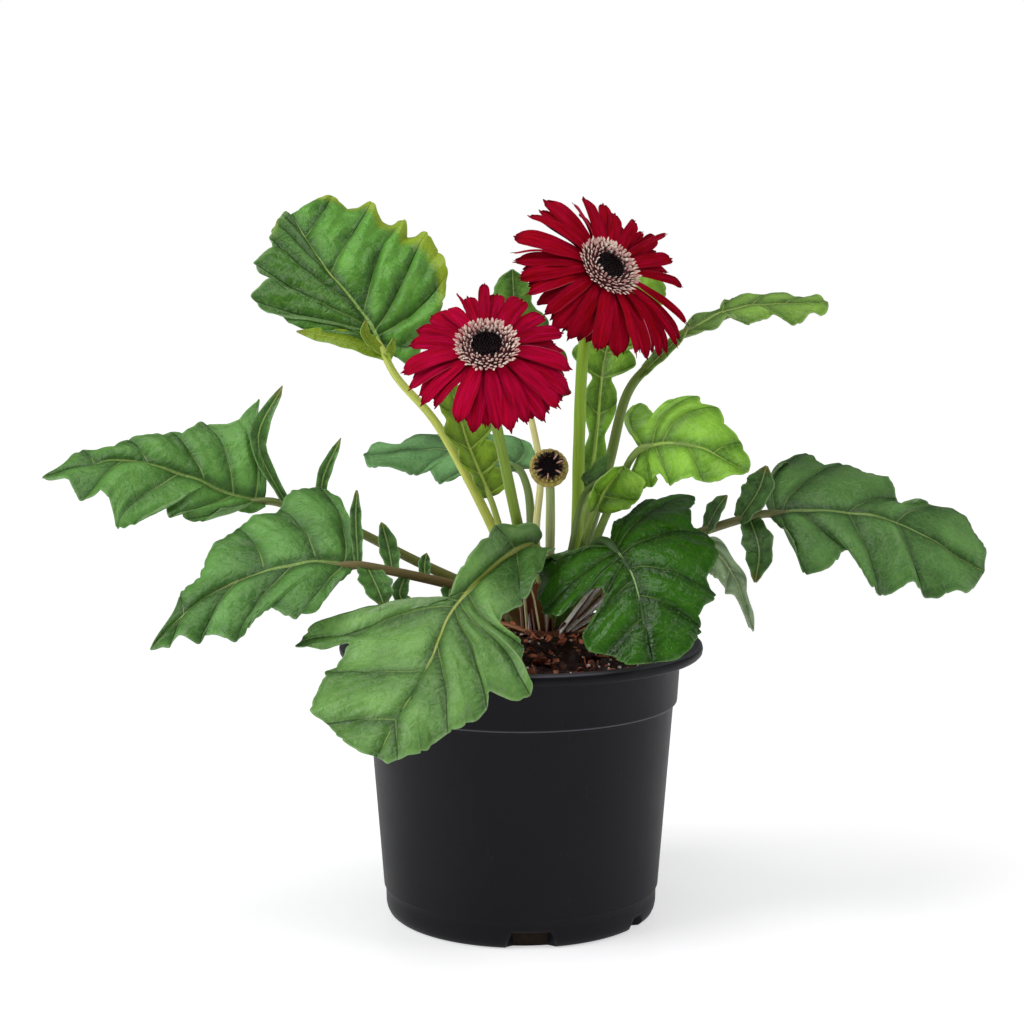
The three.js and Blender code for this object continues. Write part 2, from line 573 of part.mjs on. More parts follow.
// Turns a head that is built with its face along +Z so that it faces its own way.
function faceTurn(facing) {
  return new THREE.Quaternion().setFromUnitVectors(new THREE.Vector3(0, 0, 1), vec(facing).normalize());
}

function placeHead(geometry, flower) {
  geometry.applyQuaternion(faceTurn(flower.facing));
  geometry.translate(...flower.centre);
  return geometry;
}

// One ray: a pleated strap with a notched tip, arched outwards and down from the head.
function ray(flower, angle, reach, width, level, stations) {
  const root = flower.eyeRadius + 1;
  const out =new THREE.Vector3(Math.cos(angle), Math.sin(angle), 0);
  const across = new THREE.Vector3(-Math.sin(angle), Math.cos(angle), 0);
  const [mean, right, above] = flower.droop;
  const droop = mean + right * Math.cos(angle) + above * Math.sin(angle);
  const fall = (t) => level - droop * t ** 2.2;
  const rings = stations.map(([t, share], k) => {
    const half = (width / 2) * share;
    const points = [half, 0, -half].map((y) => {
      const back = k === stations.length - 1 && y === 0 ? RAY.notch : 0;
      const r = root + (reach - root) * t - back;
      const z = fall(t) - (y === 0 ? RAY.pleat : 0);
      return out.clone().multiplyScalar(r).addScaledVector(across, y).setZ(z);
    });
    const under = points.map((p) => p.clone().setZ(p.z - RAY.thickness)).reverse();
    return [...points, ...under];
  });
  return loft(rings, true);
}

function flowerRays(flower) {
  const random = randomFrom(flower.seed);
  const inner = flower.eyeRadius;
  const outer = inner + RAY_COLLAR.width;
  const section = [
    [inner, RAY_COLLAR.top], [inner, RAY_COLLAR.foot], [outer, RAY_COLLAR.foot], [outer, RAY_COLLAR.top],
    [inner, RAY_COLLAR.top],
  ];
  const collar = lathe(section, RAY_COLLAR.segments);
  const petals = [];
  RAY_STATIONS.forEach((stations, layer) => {
    for (let k = 0; k < flower.rays; k += 1) {
      const angle = ((k + layer * 0.5 + 0.12 * (random() - 0.5)) / flower.rays) * 2 * Math.PI;
      const reach = flower.rayReach * (0.93 + 0.1 * random());
      const width = RAY.width * (1 + 0.1 * random());
      petals.push(ray(flower, angle, reach, width, RAY.level - RAY.layerDrop * layer, stations));
    }
  });
  return placeHead(join([collar, ...petals]), flower);
}

// The ring of pale florets: a band with a jagged relief.
function florets(flower, profile, teeth) {
  const inner = flower.eyeRadius + CLEARANCE;
  const outer = flower.ringRadius;
  const rings = Array.from({ length: teeth }, (_, k) => {
    const angle = (k / teeth) * 2 * Math.PI;
    return profile.map(([share, height, relief], n) => {
      const sway = relief * ((k + n) % 2 === 0 ? 1 : -1);
      const r = inner + (outer - inner) * share + (share > 0.1 ? sway * 0.5 : 0);
      return new THREE.Vector3(r * Math.cos(angle), r * Math.sin(angle), height + sway);
    });
  });
  return placeHead(wheel(rings), flower);
}

// A closed body through rings set round an axis, the last joined to the first.
function wheel(rings) {
  const count = rings[0].length;
  const index = [];
  rings.forEach((_, i) => {
    const other = (i + 1) % rings.length;
    for (let j = 0; j < count; j += 1) {
      const next = (j + 1) % count;
      const a = i * count + j;
      const b = i * count + next;
      const c = other * count + j;
      const d = other * count + next;
      index.push(a, b, c, b, d, c);
    }
  });
  const geometry = new THREE.BufferGeometry();
  const positions = rings.flat().flatMap((p) => [p.x, p.y, p.z]);
  geometry.setAttribute('position', new THREE.Float32BufferAttribute(positions, 3));
  geometry.setIndex(index);
  return geometry;
}

// A dome of dark florets in the middle of a head, with a nubbly relief.
function floretDome(radius, { height, foot, sides }) {
  const shares = [1, 0.8, 0.5, 0.2];
  const rings = [ringAround(new THREE.Vector3(0, 0, foot), new THREE.Vector3(0, 0, 1), radius, sides)];
  shares.forEach((share, n) => {
    const rise = height * Math.cos(share * Math.PI * 0.42);
    const ring = ringAround(new THREE.Vector3(0, 0, 0), new THREE.Vector3(0, 0, 1), radius * share, sides);
    ring.forEach((p, k) => p.setZ(rise + ((k + n) % 2 === 0 ? 0.35 : -0.35)));
    rings.push(ring);
  });
  return loft(rings);
}

// A flower stalk's course, up to the foot of the cup under its head.
function scapePath(flower) {
  const facing = vec(flower.facing).normalize();
  const neck = vec(flower.centre).addScaledVector(facing, flower.cup[0][0]);
  return new Path([...flower.path, neck.toArray()]);
}

// A flower stalk with the cup of bracts that carries the head.
function scape(flower) {
  const facing = vec(flower.facing).normalize();
  const centre = vec(flower.centre);
  const path = scapePath(flower);
  const back = new THREE.Vector3(0, 1, 0);
  const rings = [];
  for (let k = 0; k < STEM.steps; k += 1) {
    const share = k / STEM.steps;
    const x = path.length * share;
    const radius = flower.stalk * (1 - STEM.taper * share);
    rings.push(ringAround(path.at(x), path.tangent(x), radius, STEM.sides, back));
  }
  flower.cup.forEach(([height, radius, scallop]) => {
    const at = centre.clone().addScaledVector(facing, height);
    const wave = (k) => radius + (k % 2 === 0 ? scallop : -scallop);
    rings.push(ringAround(at, facing, wave, STEM.sides, back));
  });
  return loft(rings);
}

// ---------------------------------------------------------------- pot, soil, crown

function makePot() {
  const floor = 2.5;
  const outline = [
    [0, 0], [57.6, 0], [60.4, 1.2], [61.9, 4.5], [62.0, 12.8], [62.9, 12.9], [69.4, POT.collarBottom],
    [71, POT.collarBottom + 0.6], [72.4, POT.collarTop], [80.6, POT.collarTop + 0.3],
    [82.2, POT.collarTop + 1.2], [POT.lipRadius, 122.6], [82, 124.4], [80.4, POT.height], [76.5, 124.5],
    [72.3, 121.6], [70.9, 118.5], [69.5, 96.8], [67.9, 95.8], [61.4, 13.6], [60.4, 5], [58, floor],
    [0, floor],
  ];
  const below = -1;
  const depth = NOTCH_REACH.outer - NOTCH_REACH.inner;
  const notches = [];
  for (const notch of NOTCHES) {
    const shape = new THREE.Shape([
      new THREE.Vector2(-notch.width / 2, below), new THREE.Vector2(notch.width / 2, below),
      new THREE.Vector2(notch.topWidth / 2, notch.height),
      new THREE.Vector2(-notch.topWidth / 2, notch.height),
    ]);
    for (const degrees of notch.directions) {
      const block = new THREE.ExtrudeGeometry(shape, { depth, bevelEnabled: false });
      block.rotateX(Math.PI / 2).rotateZ(Math.PI / 2).translate(NOTCH_REACH.outer, 0, 0);
      notches.push(block.rotateZ(rad(degrees)));
    }
  }
  return cut(lathe(outline, POT.segments), notches);
}

// Height of the potting mix at a distance from the pot's axis.
function soilHeight(r) {
  const t = THREE.MathUtils.clamp((r - SOIL.plateauRadius) / (SOIL.edgeRadius - SOIL.plateauRadius), 0, 1);
  return SOIL.moundHeight - (SOIL.moundHeight - SOIL.rimHeight) * t * t * (3 - 2 * t);
}

function makeSoil() {
  const random = randomFrom(5);
  const body = [[0, SOIL.floor], [57.6, SOIL.floor], [61, 14], [67.5, 95.6], [69, 97.4]];
  const surface = [69.9, 53, SOIL.plateauRadius, 18, 0].map((r) => [r, soilHeight(r)]);
  const mound = lathe([...body, ...surface], SOIL.segments);
  const chips = Array.from({ length: CHIP.count }, () => {
    const angle = random() * 2 * Math.PI;
    const r = CHIP.nearest + CHIP.spread * random();
    const length = CHIP.length * (1 + 1.25 * random());
    const width = CHIP.width * (1 + random());
    const chip = new THREE.BoxGeometry(length, width, CHIP.thickness);
    chip.rotateX(0.5 * random()).rotateZ(random() * Math.PI);
    return chip.translate(r * Math.cos(angle), r * Math.sin(angle), soilHeight(r) + 0.2);
  });
  const stems = [
    ...LEAVES.map((leaf) => [new Path(leaf.path), leaf.stalk[0], leaf.base / stalkRings(leaf)]),
    ...[...FLOWERS, BUD].map((head) => [scapePath(head), head.stalk, scapePath(head).length / STEM.steps]),
  ];
  const holes = stems.map(([path, radius, step]) => {
    const rings = [0, 1, 2].map((k) => {
      const along = path.tangent(step * k);
      const centre = path.at(step * k);
      if (k === 0) centre.addScaledVector(along, -CLEARANCE - 0.1);
      return ringAround(centre, along, radius + STEM.hole, STEM.sides);
    });
    return loft(rings);
  });
  return cut(join([mound, ...chips]), holes);
}

// The ring of old leaf bases round the crown, with dried stubs standing out of it.
function makeOldLeafBases() {
  const foot = SOIL.moundHeight + CLEARANCE;
  const { radius, width, height } = CROWN;
  const section = [
    [radius, foot], [radius + width, foot], [radius + width * 0.7, foot + height],
    [radius, foot + height * 0.6], [radius, foot],
  ];
  const ring = lathe(section, CROWN.segments).translate(CROWN.x, CROWN.y, 0);
  const stubs = STUBS.map(([degrees, length, rise, half]) => {
    const turn = rad(degrees);
    const out = new THREE.Vector3(Math.cos(turn), Math.sin(turn), 0);
    const along = out.clone().multiplyScalar(Math.cos(rad(rise))).setZ(Math.sin(rad(rise)));
    const across = new THREE.Vector3(-Math.sin(turn), Math.cos(turn), 0);
    const root = new THREE.Vector3(CROWN.x, CROWN.y, foot + 1).addScaledVector(out, radius + width / 2);
    const rings = [[0, 1], [0.6, 0.9], [1, 0.35]].map(([t, share]) => {
      const centre = root.clone().addScaledVector(along, length * t);
      const thick = new THREE.Vector3().crossVectors(along, across).multiplyScalar(STUB_HALF_THICKNESS);
      const wide = across.clone().multiplyScalar(half * share);
      return [[1, 1], [-1, 1], [-1, -1], [1, -1]].map(([s, u]) => centre.clone()
        .addScaledVector(wide, s).addScaledVector(thick, u));
    });
    return loft(rings);
  });
  return join([ring, ...stubs]);
}

// ---------------------------------------------------------------- assembly

const gerbera = new THREE.Group();

function addPart(name, geometry, colour, roughness = 0.6) {
  const material = new THREE.MeshStandardMaterial({ color: colour, roughness, metalness: 0 });
  const mesh = new THREE.Mesh(geometry, material);
  mesh.name = name;
  gerbera.add(mesh);
}

addPart('pot', makePot(), COLOURS.pot, 0.55);
addPart('soil', makeSoil(), COLOURS.soil, 0.95);
addPart('old_leaf_bases', makeOldLeafBases(), COLOURS.straw, 0.8);
for (const leaf of LEAVES) addPart(leaf.name, makeLeaf(leaf), leaf.colour);

for (const flower of FLOWERS) {
  addPart(`${flower.name}_scape`, scape(flower), COLOURS.scape);
  addPart(`${flower.name}_rays`, flowerRays(flower), flower.colour);
  addPart(`${flower.name}_florets`, florets(flower, HEAD_BAND, BAND_TEETH.head), COLOURS.floret);
  addPart(`${flower.name}_eye`, placeHead(floretDome(flower.eyeRadius, HEAD_DOME), flower), COLOURS.eye);
}

addPart('bud_scape', scape(BUD), COLOURS.bract);
addPart('bud_florets', florets(BUD, BUD_BAND, BAND_TEETH.bud), COLOURS.straw);
addPart('bud_eye', placeHead(floretDome(BUD.eyeRadius, BUD_DOME), BUD), COLOURS.eye);

export default gerbera;
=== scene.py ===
# Looks of the potted gerbera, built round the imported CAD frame. Lengths in the tables are in
# millimetres in the frame of the CAD model, and MM turns them into metres. Colours are sRGB, 0 to 255.
import math

import bpy
import numpy as np
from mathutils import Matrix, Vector


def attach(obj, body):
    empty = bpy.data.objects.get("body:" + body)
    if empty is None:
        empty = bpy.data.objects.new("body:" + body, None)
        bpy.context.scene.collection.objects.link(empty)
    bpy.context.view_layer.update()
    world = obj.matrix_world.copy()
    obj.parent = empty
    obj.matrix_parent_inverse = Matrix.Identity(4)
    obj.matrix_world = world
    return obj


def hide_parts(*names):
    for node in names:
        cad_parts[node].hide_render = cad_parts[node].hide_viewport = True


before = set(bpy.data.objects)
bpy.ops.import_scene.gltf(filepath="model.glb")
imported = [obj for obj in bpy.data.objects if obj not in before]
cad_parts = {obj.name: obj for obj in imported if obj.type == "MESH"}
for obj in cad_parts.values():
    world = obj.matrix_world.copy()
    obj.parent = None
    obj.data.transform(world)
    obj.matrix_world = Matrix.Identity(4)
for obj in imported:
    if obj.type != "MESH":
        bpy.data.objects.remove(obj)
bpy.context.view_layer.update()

MM = 0.001
FULL_TURN = 2 * math.pi
GOLDEN_ANGLE = math.pi * (3 - math.sqrt(5))

# ---------------------------------------------------------------- dimensions, as in the CAD source

# Notches in the foot of the pot, by their directions in degrees
NOTCHES = [
    {"directions": [-86, 94], "width": 23, "top": 17, "height": 8},
    {"directions": [-33, 147], "width": 10, "top": 5.5, "height": 6},
]
FOOT_DIAMETER = 124
SOIL = {"rim": 117, "mound": 131, "plateau": 36, "edge": 69}
CROWN = {"x": 12, "y": 0, "radius": 22.6, "foot": 131.3}

# Each leaf: path = its stalk and midrib from foot to tip; face = direction of the upper side along it;
# lift and curl = angles in degrees of the left and right half at fractions of the path, curl being
# reached span mm from the rib; base = where the blade starts on the path;
# rows = [left along, left reach, right along, right reach] of the margin, from base to tip;
# lobes = free lobes on the stalk: [start along the path, middle point, tip point, half width].
LEAVES = [
    {
        "name": "leaf_high_left", "stalk": [2.7, 1.7], "span": 45, "base": 152,
        "path": [
            [2, 6, 123], [-1, 8, 140], [-11, 14, 170], [-37, 22, 219], [-58, 26, 244], [-70, 34, 268],
            [-92, 50, 294], [-110, 74, 318],
        ],
        "face": [[0, 0.6, -0.6, 0.5], [0.5, 0.45, -0.75, 0.45], [1, 0.3, -0.85, 0.5]],
        "lift": [[0, 0, 0], [0.6, -10, 10], [1, 0, 0]], "curl": [[0, 0, 0], [0.6, -20, 5], [1, -25, 0]],
        "rows": [
            [152, 2, 148, 3], [161, 7, 142, 9], [173, 16, 147, 16], [193, 32, 157, 26],
            [189, 24, 164, 36], [205, 38, 171, 45], [209, 24, 183, 51], [219, 29, 195, 52],
            [223, 18, 205, 45], [232, 15, 220, 48], [236, 11, 225, 41], [240, 8, 236, 38],
            [243, 5, 240, 29], [245, 3, 247, 21], [246, 1, 249, 10],
        ],
        "lobes": [
            [148.25, [-81, 28, 260], [-103, 26, 264], 4.5], [149.5, [-71, 26, 262], [-71, 25, 269], 3],
            [148.25, [-60, 22, 254], [-58, 20, 261], 2.5],
        ],
    },
    {
        "name": "leaf_far_left", "stalk": [2.7, 1.8], "span": 35, "base": 141,
        "path": [
            [-2, 0, 123], [-3, 0, 136], [-11, 4, 145], [-26, 7, 150], [-48, 8, 160], [-81, 6, 177],
            [-108, 2, 187], [-128, -4, 192], [-151, -9, 202], [-178, -12, 209], [-212, -16, 201],
        ],
        "face": [[0, 0, -0.5, 0.85], [0.5, 0, -0.45, 0.9], [1, -0.25, -0.4, 0.88]],
        "lift": [[0, 0, 60], [0.5, 0, 62], [0.62, 0, 45], [0.75, 0, 22], [1, 0, 0]],
        "curl": [[0, 0, 0], [0.5, -20, -5], [1, -30, -20]],
        "rows": [
            [141, 3, 141, 4], [156, 12, 146, 20], [162, 17, 152, 27], [172, 27, 156, 48],
            [175, 24, 165, 33], [180, 29, 178, 31], [183, 19, 184, 23], [192, 34, 191, 22],
            [209, 42, 199, 14], [214, 24, 206, 12], [227, 23, 215, 12], [231, 9, 224, 10],
            [236, 5, 233, 6],
        ],
        "lobes": [
            [130.75, [-119, 6, 215], [-108, 10, 240], 4.5], [114, [-90, 8, 198], [-82, 12, 216], 3],
        ],
    },
    {
        "name": "leaf_low_left", "stalk": [2.8, 1.9], "span": 42, "base": 97,
        "path": [
            [1.5, -6, 123], [0, -8, 135], [-8, -12, 144], [-24, -17, 151], [-43, -23, 157],
            [-74, -34, 165], [-94, -41, 167], [-123, -49, 160], [-143, -55, 148], [-158, -60, 132],
        ],
        "face": [[0, 0.1, -0.6, 0.75], [0.4, -0.05, -0.62, 0.75], [1, -0.3, -0.65, 0.65]],
        "lift": [[0, 0, 0]], "curl": [[0, 0, 0], [1, -25, -15]],
        "rows": [
            [99.5, 3, 95, 4], [109.5, 13, 97, 21], [120.5, 25, 100, 37], [131, 28, 106, 50],
            [140, 19, 115, 46], [154, 24, 122, 35], [166, 27, 133, 35], [172, 17, 141, 31],
            [181, 16, 150, 24], [184, 7, 160, 14], [191, 6, 173, 7], [193, 3, 183, 3],
        ],
        "lobes": [
            [91, [-62, -43, 155], [-59, -47, 148], 8], [95.125, [-73, -22, 183], [-73, -14, 195], 3],
            [79.125, [-59, -20, 171], [-62, -16, 181], 5], [72.875, [-53, -32, 150], [-43, -36, 144], 4],
            [63.5, [-43, -18, 162], [-42, -14, 167], 3], [50.75, [-32, -24, 150], [-31, -28, 146], 4],
        ],
    },
    {
        "name": "leaf_front_left", "stalk": [2.8, 1.9], "span": 45, "base": 50,
        "path": [
            [5, -12, 123], [5, -13, 136], [9, -19, 158], [6, -25, 172], [-8, -38, 168], [-29, -57, 150],
            [-37, -74, 134], [-44, -88, 122], [-52, -99, 110], [-59, -108, 97],
        ],
        "face": [
            [0, -0.5, -0.3, 0.75], [0.45, -0.3, -0.6, 0.75], [0.62, -0.22, -0.72, 0.68],
            [1, -0.25, -0.88, 0.45],
        ],
        "lift": [[0, 0, 60], [0.3, 0, 75], [0.48, 0, 60], [0.55, 0, 0], [1, 0, 0]],
        "curl": [[0, 0, 0], [0.6, -20, 0], [1, -28, -25]],
        "rows": [
            [52, 5, 50, 5], [56, 14, 53, 8], [68, 17, 60, 10], [88, 24, 69, 13], [105, 20, 83, 10],
            [120, 35, 103, 4], [129, 37, 114, 16], [137, 45, 118, 42], [143, 28, 125, 60],
            [149, 31, 136, 63], [157, 26, 137, 49], [165, 21, 134, 36], [174, 17, 155, 41],
            [180, 12, 173, 39], [184, 8, 178, 25], [187, 5, 185, 10],
        ],
        "lobes": [],
    },
    {
        "name": "leaf_front_right", "stalk": [2.8, 1.9], "span": 45, "base": 66,
        "path": [
            [19, -12, 123], [20, -13, 138], [27, -20, 163], [36, -32, 175], [46, -50, 166],
            [51, -66, 150], [55, -78, 130],
        ],
        "face": [[0, -0.2, -0.5, 0.6], [0.45, -0.1, -0.6, 0.75], [1, 0.1, -0.9, 0.45]],
        "lift": [[0, 0, -12], [1, 0, 0]], "curl": [[0, -15, -25], [1, -25, -30]],
        "rows": [
            [61, 3, 61, 5], [53, 11, 54, 14], [48, 27, 44, 25], [47, 44, 52, 32], [52, 54, 62, 39],
            [61, 45, 83, 41], [71, 37, 98, 35], [77, 41, 97, 27], [84, 41, 88, 17], [93, 31, 96, 13],
            [103, 33, 106, 17], [110, 25, 114, 26], [118, 24, 121, 25], [124, 18, 125, 16],
            [131, 10, 131, 10],
        ],
        "lobes": [],
    },
    {
        "name": "leaf_far_right", "stalk": [2.8, 1.9], "span": 36, "base": 114,
        "path": [
            [26, 0, 123], [27.5, 0, 135], [36, 2, 148], [54, 5, 162], [84, 8, 174], [112, 8, 182],
            [133, 6, 184], [170, 2, 179], [209, -4, 157],
        ],
        "face": [[0, -0.2, -0.4, 0.85], [0.5, 0, -0.55, 0.8], [1, 0.3, -0.6, 0.7]],
        "lift": [[0, 0, 0]], "curl": [[0, -10, -20], [1, -25, -25]],
        "rows": [
            [115, 5, 115, 3], [125, 37, 120, 11], [131, 56, 125, 21], [137, 44, 131, 35],
            [147, 42, 142, 29], [155, 41, 149, 21], [163, 34, 160, 30], [170, 17, 175, 40],
            [177, 15, 189, 26], [193, 32, 199, 29], [203, 29, 207, 20], [212, 14, 213, 17],
        ],
        "lobes": [
            [83.5, [89, 4, 185], [93, 2, 191], 6], [99.25, [107, 4, 192], [111, 4, 204], 9],
            [104.5, [107, -6, 167], [105, -10, 153], 7],
        ],
    },
    {
        "name": "leaf_hanging_right", "stalk": [2.6, 1.8], "span": 20, "base": 88,
        "path": [
            [22.5, 6, 123], [26, 8, 138], [42, 18, 158], [66, 27, 168], [88, 30, 163], [101, 30, 148],
            [109, 27, 124],
        ],
        "face": [[0, -0.2, -0.3, 0.9], [0.6, 0.2, -0.3, 0.9], [1, 0.85, -0.45, 0.25]],
        "lift": [[0, 0, 0]], "curl": [[0, -10, -10], [1, -30, -30]],
        "rows": [
            [88, 4, 88, 4], [96, 14, 93, 14], [104, 20, 99, 15], [111, 14, 108, 12], [118, 10, 117, 13],
            [125, 8, 120, 6], [133, 6, 129, 4],
        ],
        "lobes": [],
    },
    {
        "name": "leaf_high_right", "stalk": [3, 2], "span": 26, "base": 157,
        "path": [
            [15.5, 6, 123], [20, 7, 142], [30, 9, 170], [40, 12, 204], [48, 15, 235], [60, 19, 250],
            [78, 24, 266], [104, 32, 276], [143, 42, 277],
        ],
        "face": [
            [0, -0.8, -0.4, 0.3], [0.6, -0.3, -0.45, 0.8], [0.75, -0.1, -0.35, 0.92],
            [1, 0.1, -0.3, 0.95],
        ],
        "lift": [[0, 0, 0]], "curl": [[0, -10, -10], [1, -25, -25]],
        "rows": [
            [158, 2, 158, 2], [168, 7, 165, 9], [181, 4, 179.4, 4], [191, 14, 184, 16],
            [203, 18, 193, 15], [213, 20, 200, 12], [220, 17, 206, 20], [226, 12, 215, 14],
            [231, 7, 223, 11],
        ],
        "lobes": [[127.5, [66, 14, 256], [76, 16, 266], 5]],
    },
    {
        "name": "leaf_bright_right", "stalk": [2.3, 1.6], "span": 30, "base": 101,
        "path": [
            [22.5, -6, 123], [25, -8, 140], [33, -16, 172], [42, -25, 196], [48, -30, 211],
            [56, -33, 217], [74, -40, 218], [97, -48, 207],
        ],
        "face": [[0, 0.6, -0.4, 0.4], [0.6, 0.25, -0.75, 0.5], [1, 0.35, -0.75, 0.55]],
        "lift": [[0, 0, 0]], "curl": [[0, -10, -10], [1, -20, -20]],
        "rows": [
            [101, 3, 97, 3], [104, 22, 91, 7], [107, 15, 91, 13], [114, 24, 97, 16], [120, 29, 111, 14],
            [122, 23, 120, 21], [127, 26, 130, 17], [132, 17, 139, 15], [142, 12, 145, 9],
            [149, 6, 148, 5],
        ],
        "lobes": [],
    },
    {
        "name": "leaf_young_folded", "stalk": [1.8, 1.3], "span": 20, "base": 70,
        "path": [[15.5, -6, 123], [18, -8, 140], [26, -13, 166], [33, -24, 188], [44, -37, 208]],
        "face": [[0, 0.4, -0.7, 0.4], [1, 0.4, -0.75, 0.3]],
        "lift": [[0, 40, 40], [1, 35, 35]], "curl": [[0, 0, 0]],
        "rows": [[70, 2, 70, 2], [78, 10, 78, 10], [88, 13, 88, 13], [97, 9, 97, 10]],
        "lobes": [],
    },
    {
        "name": "leaf_young_dark", "stalk": [1.8, 1.3], "span": 20, "base": 76,
        "path": [
            [12, -12, 123], [14, -14, 140], [21, -18, 164], [25, -17, 184], [29, -15, 195],
            [38, -14, 204],
        ],
        "face": [[0, 0.5, -0.7, 0.4], [1, 0.1, -0.5, 0.85]],
        "lift": [[0, 0, 0]], "curl": [[0, -20, -20]],
        "rows": [[77, 2, 77, 2], [80, 8, 82, 10], [88, 8, 88, 10], [94, 5, 95, 6]],
        "lobes": [],
    },
    {
        "name": "leaf_back_left", "stalk": [2.6, 1.8], "span": 30, "base": 88,
        "path": [
            [5, 12, 123], [5, 14, 136], [5, 26, 160], [3, 44, 190], [-8, 60, 202], [-40, 70, 206],
            [-76, 70, 203],
        ],
        "face": [[0, 0, -0.9, 0.3], [0.5, 0.1, -0.5, 0.85], [1, -0.1, -0.2, 0.97]],
        "lift": [[0, 0, 0]], "curl": [[0, -10, -10], [1, -35, -20]],
        "rows": [
            [88, 3, 87, 3], [92, 16, 84, 22], [98, 12, 95, 14], [108, 24, 106, 26], [115, 17, 114, 19],
            [126, 26, 124, 27], [133, 18, 132, 19], [143, 22, 142, 22], [151, 17, 151, 17],
            [163, 15, 163, 14],
        ],
        "lobes": [],
    },
    {
        "name": "leaf_young_toothed", "stalk": [2, 1.4], "span": 20, "base": 70,
        "path": [[5, 0, 123], [1, 2, 140], [-8, 6, 170], [-15, 10, 192], [-24, 13, 214], [-32, 15, 240]],
        "face": [[0, 0.4, -0.8, 0.3], [1, 0.3, -0.9, 0.3]],
        "lift": [[0, 0, 0]], "curl": [[0, 0, 0]],
        "rows": [
            [70, 3, 70, 3], [78, 5, 76, 12], [83, 4, 83, 5], [90, 7, 88, 14], [96, 5, 96, 6],
            [104, 9, 102, 15], [109, 6, 110, 8], [117, 8, 116, 12],
        ],
        "lobes": [],
    },
    {
        "name": "leaf_upright_back", "stalk": [2, 1.5], "span": 30, "base": 112,
        "path": [
            [8.5, 6, 123], [8.5, 9, 140], [7, 15, 172], [9, 25, 200], [3, 35, 232], [-2, 45, 262],
            [-4, 54, 292],
        ],
        "face": [[0, 0.1, -0.9, 0.3], [1, 0.1, -0.9, 0.4]],
        "lift": [[0, 0, 0]], "curl": [[0, -10, -10]],
        "rows": [
            [112, 3, 112, 3], [118, 13, 115, 21], [124.5, 10, 122, 12], [131, 19, 131, 22],
            [140, 14, 140, 14], [150, 18, 150, 16], [158, 10, 158, 9], [166, 9, 166, 8],
        ],
        "lobes": [],
    },
    {
        "name": "leaf_upright_right", "stalk": [2.6, 1.8], "span": 30, "base": 60,
        "path": [
            [19, 12, 123], [21, 16, 140], [30, 24, 180], [35, 30, 215], [38, 36, 245], [44, 42, 270],
            [56, 48, 295],
        ],
        "face": [[0, -0.1, -0.9, 0.3], [1, -0.1, -0.9, 0.4]],
        "lift": [[0, 0, 0]], "curl": [[0, -10, -10]],
        "rows": [
            [60, 3, 60, 3], [85, 5, 82, 6], [97, 3, 97, 3], [112, 7, 112, 8], [124, 3, 124, 3],
            [133, 15, 132, 14], [140, 8, 140, 8], [152, 24, 150, 22], [160, 15, 158, 14],
            [170, 19, 170, 18], [178, 10, 178, 9],
        ],
        "lobes": [],
    },
    {
        "name": "leaf_back_low", "stalk": [2.7, 1.9], "span": 40, "base": 62,
        "path": [
            [12, 12, 123], [14, 18, 138], [22, 42, 151], [36, 72, 150], [50, 100, 135], [58, 118, 112],
        ],
        "face": [[0, 0, -0.4, 0.9], [1, 0.2, 0.5, 0.8]],
        "lift": [[0, 0, 0]], "curl": [[0, -15, -15], [1, -30, -30]],
        "rows": [
            [62, 3, 62, 3], [70, 22, 70, 20], [78, 14, 78, 14], [88, 34, 88, 32], [96, 24, 96, 22],
            [107, 38, 107, 36], [115, 26, 115, 26], [125, 30, 125, 28], [132, 17, 132, 16],
            [138, 14, 138, 14],
        ],
        "lobes": [],
    },
    {
        "name": "leaf_back_hanging", "stalk": [2.5, 1.8], "span": 40, "base": 94,
        "path": [
            [-4.8, 6, 123], [-6, 10, 136], [-8, 30, 146], [-12, 60, 143], [-18, 83, 132], [-26, 103, 113],
            [-32, 117, 92],
        ],
        "face": [[0, 0, -0.4, 0.9], [0.6, 0, 0.3, 0.9], [1, -0.1, 0.85, 0.5]],
        "lift": [[0, 0, 0]], "curl": [[0, -15, -15], [1, -30, -30]],
        "rows": [
            [94, 3, 94, 3], [99, 20, 98, 22], [104.5, 14, 105, 15], [112, 29, 114, 28],
            [119, 20, 121, 21], [127, 25, 128, 26], [134, 15, 134, 16], [140, 12, 140, 12],
        ],
        "lobes": [],
    },
]

# How the leaves look; a look has the values of COMMON_LOOK where it doesn't state its own. slot; dark, light
# = green of the upper side, from dark to light in patches, and as painted shade in its hollows and painted
# light on its swellings; foot, neck = colour of the stalk's ends; pucker = height of the swellings between
# the side veins and skew = how far they lean to one side, and how much of their painted light grows from one
# side vein to the next; slant, bow = lean and bend of the side veins; wave = height and length of the
# margin's waves; tooth, teeth = depth and spacing of its small teeth; point = length of the point that ends a
# lobe; wrinkle = height of the fine folds. pucker_left and wave_left are for the left half alone. gloss =
# roughness; crease, line, veins = strength of the painted shade beside the side veins, of the painted shade
# along their outer part and of their pale inner part; midrib, thin, rib_end = colour of the pale rib, its
# width and where it ends; specks = strength of pale specks; left, left_end = colour of the painted shade on
# the left half and the share of the blade at which it ends; warm = colour of the fringes, and lime = share of
# it in the free lobes; fringe = [half, first row, last row, where it starts between rib and margin].
COMMON_LOOK = dict(skew=0.35, tooth=1.2, teeth=8.5, point=0.5, wrinkle=0.15, slant=0.8, bow=0.3, crease=0.4,
                   line=0.6, veins=0.65, thin=1.0, rib_end=2, left_end=9, warm=(164, 176, 52), lime=0.0,
                   fringe=[])
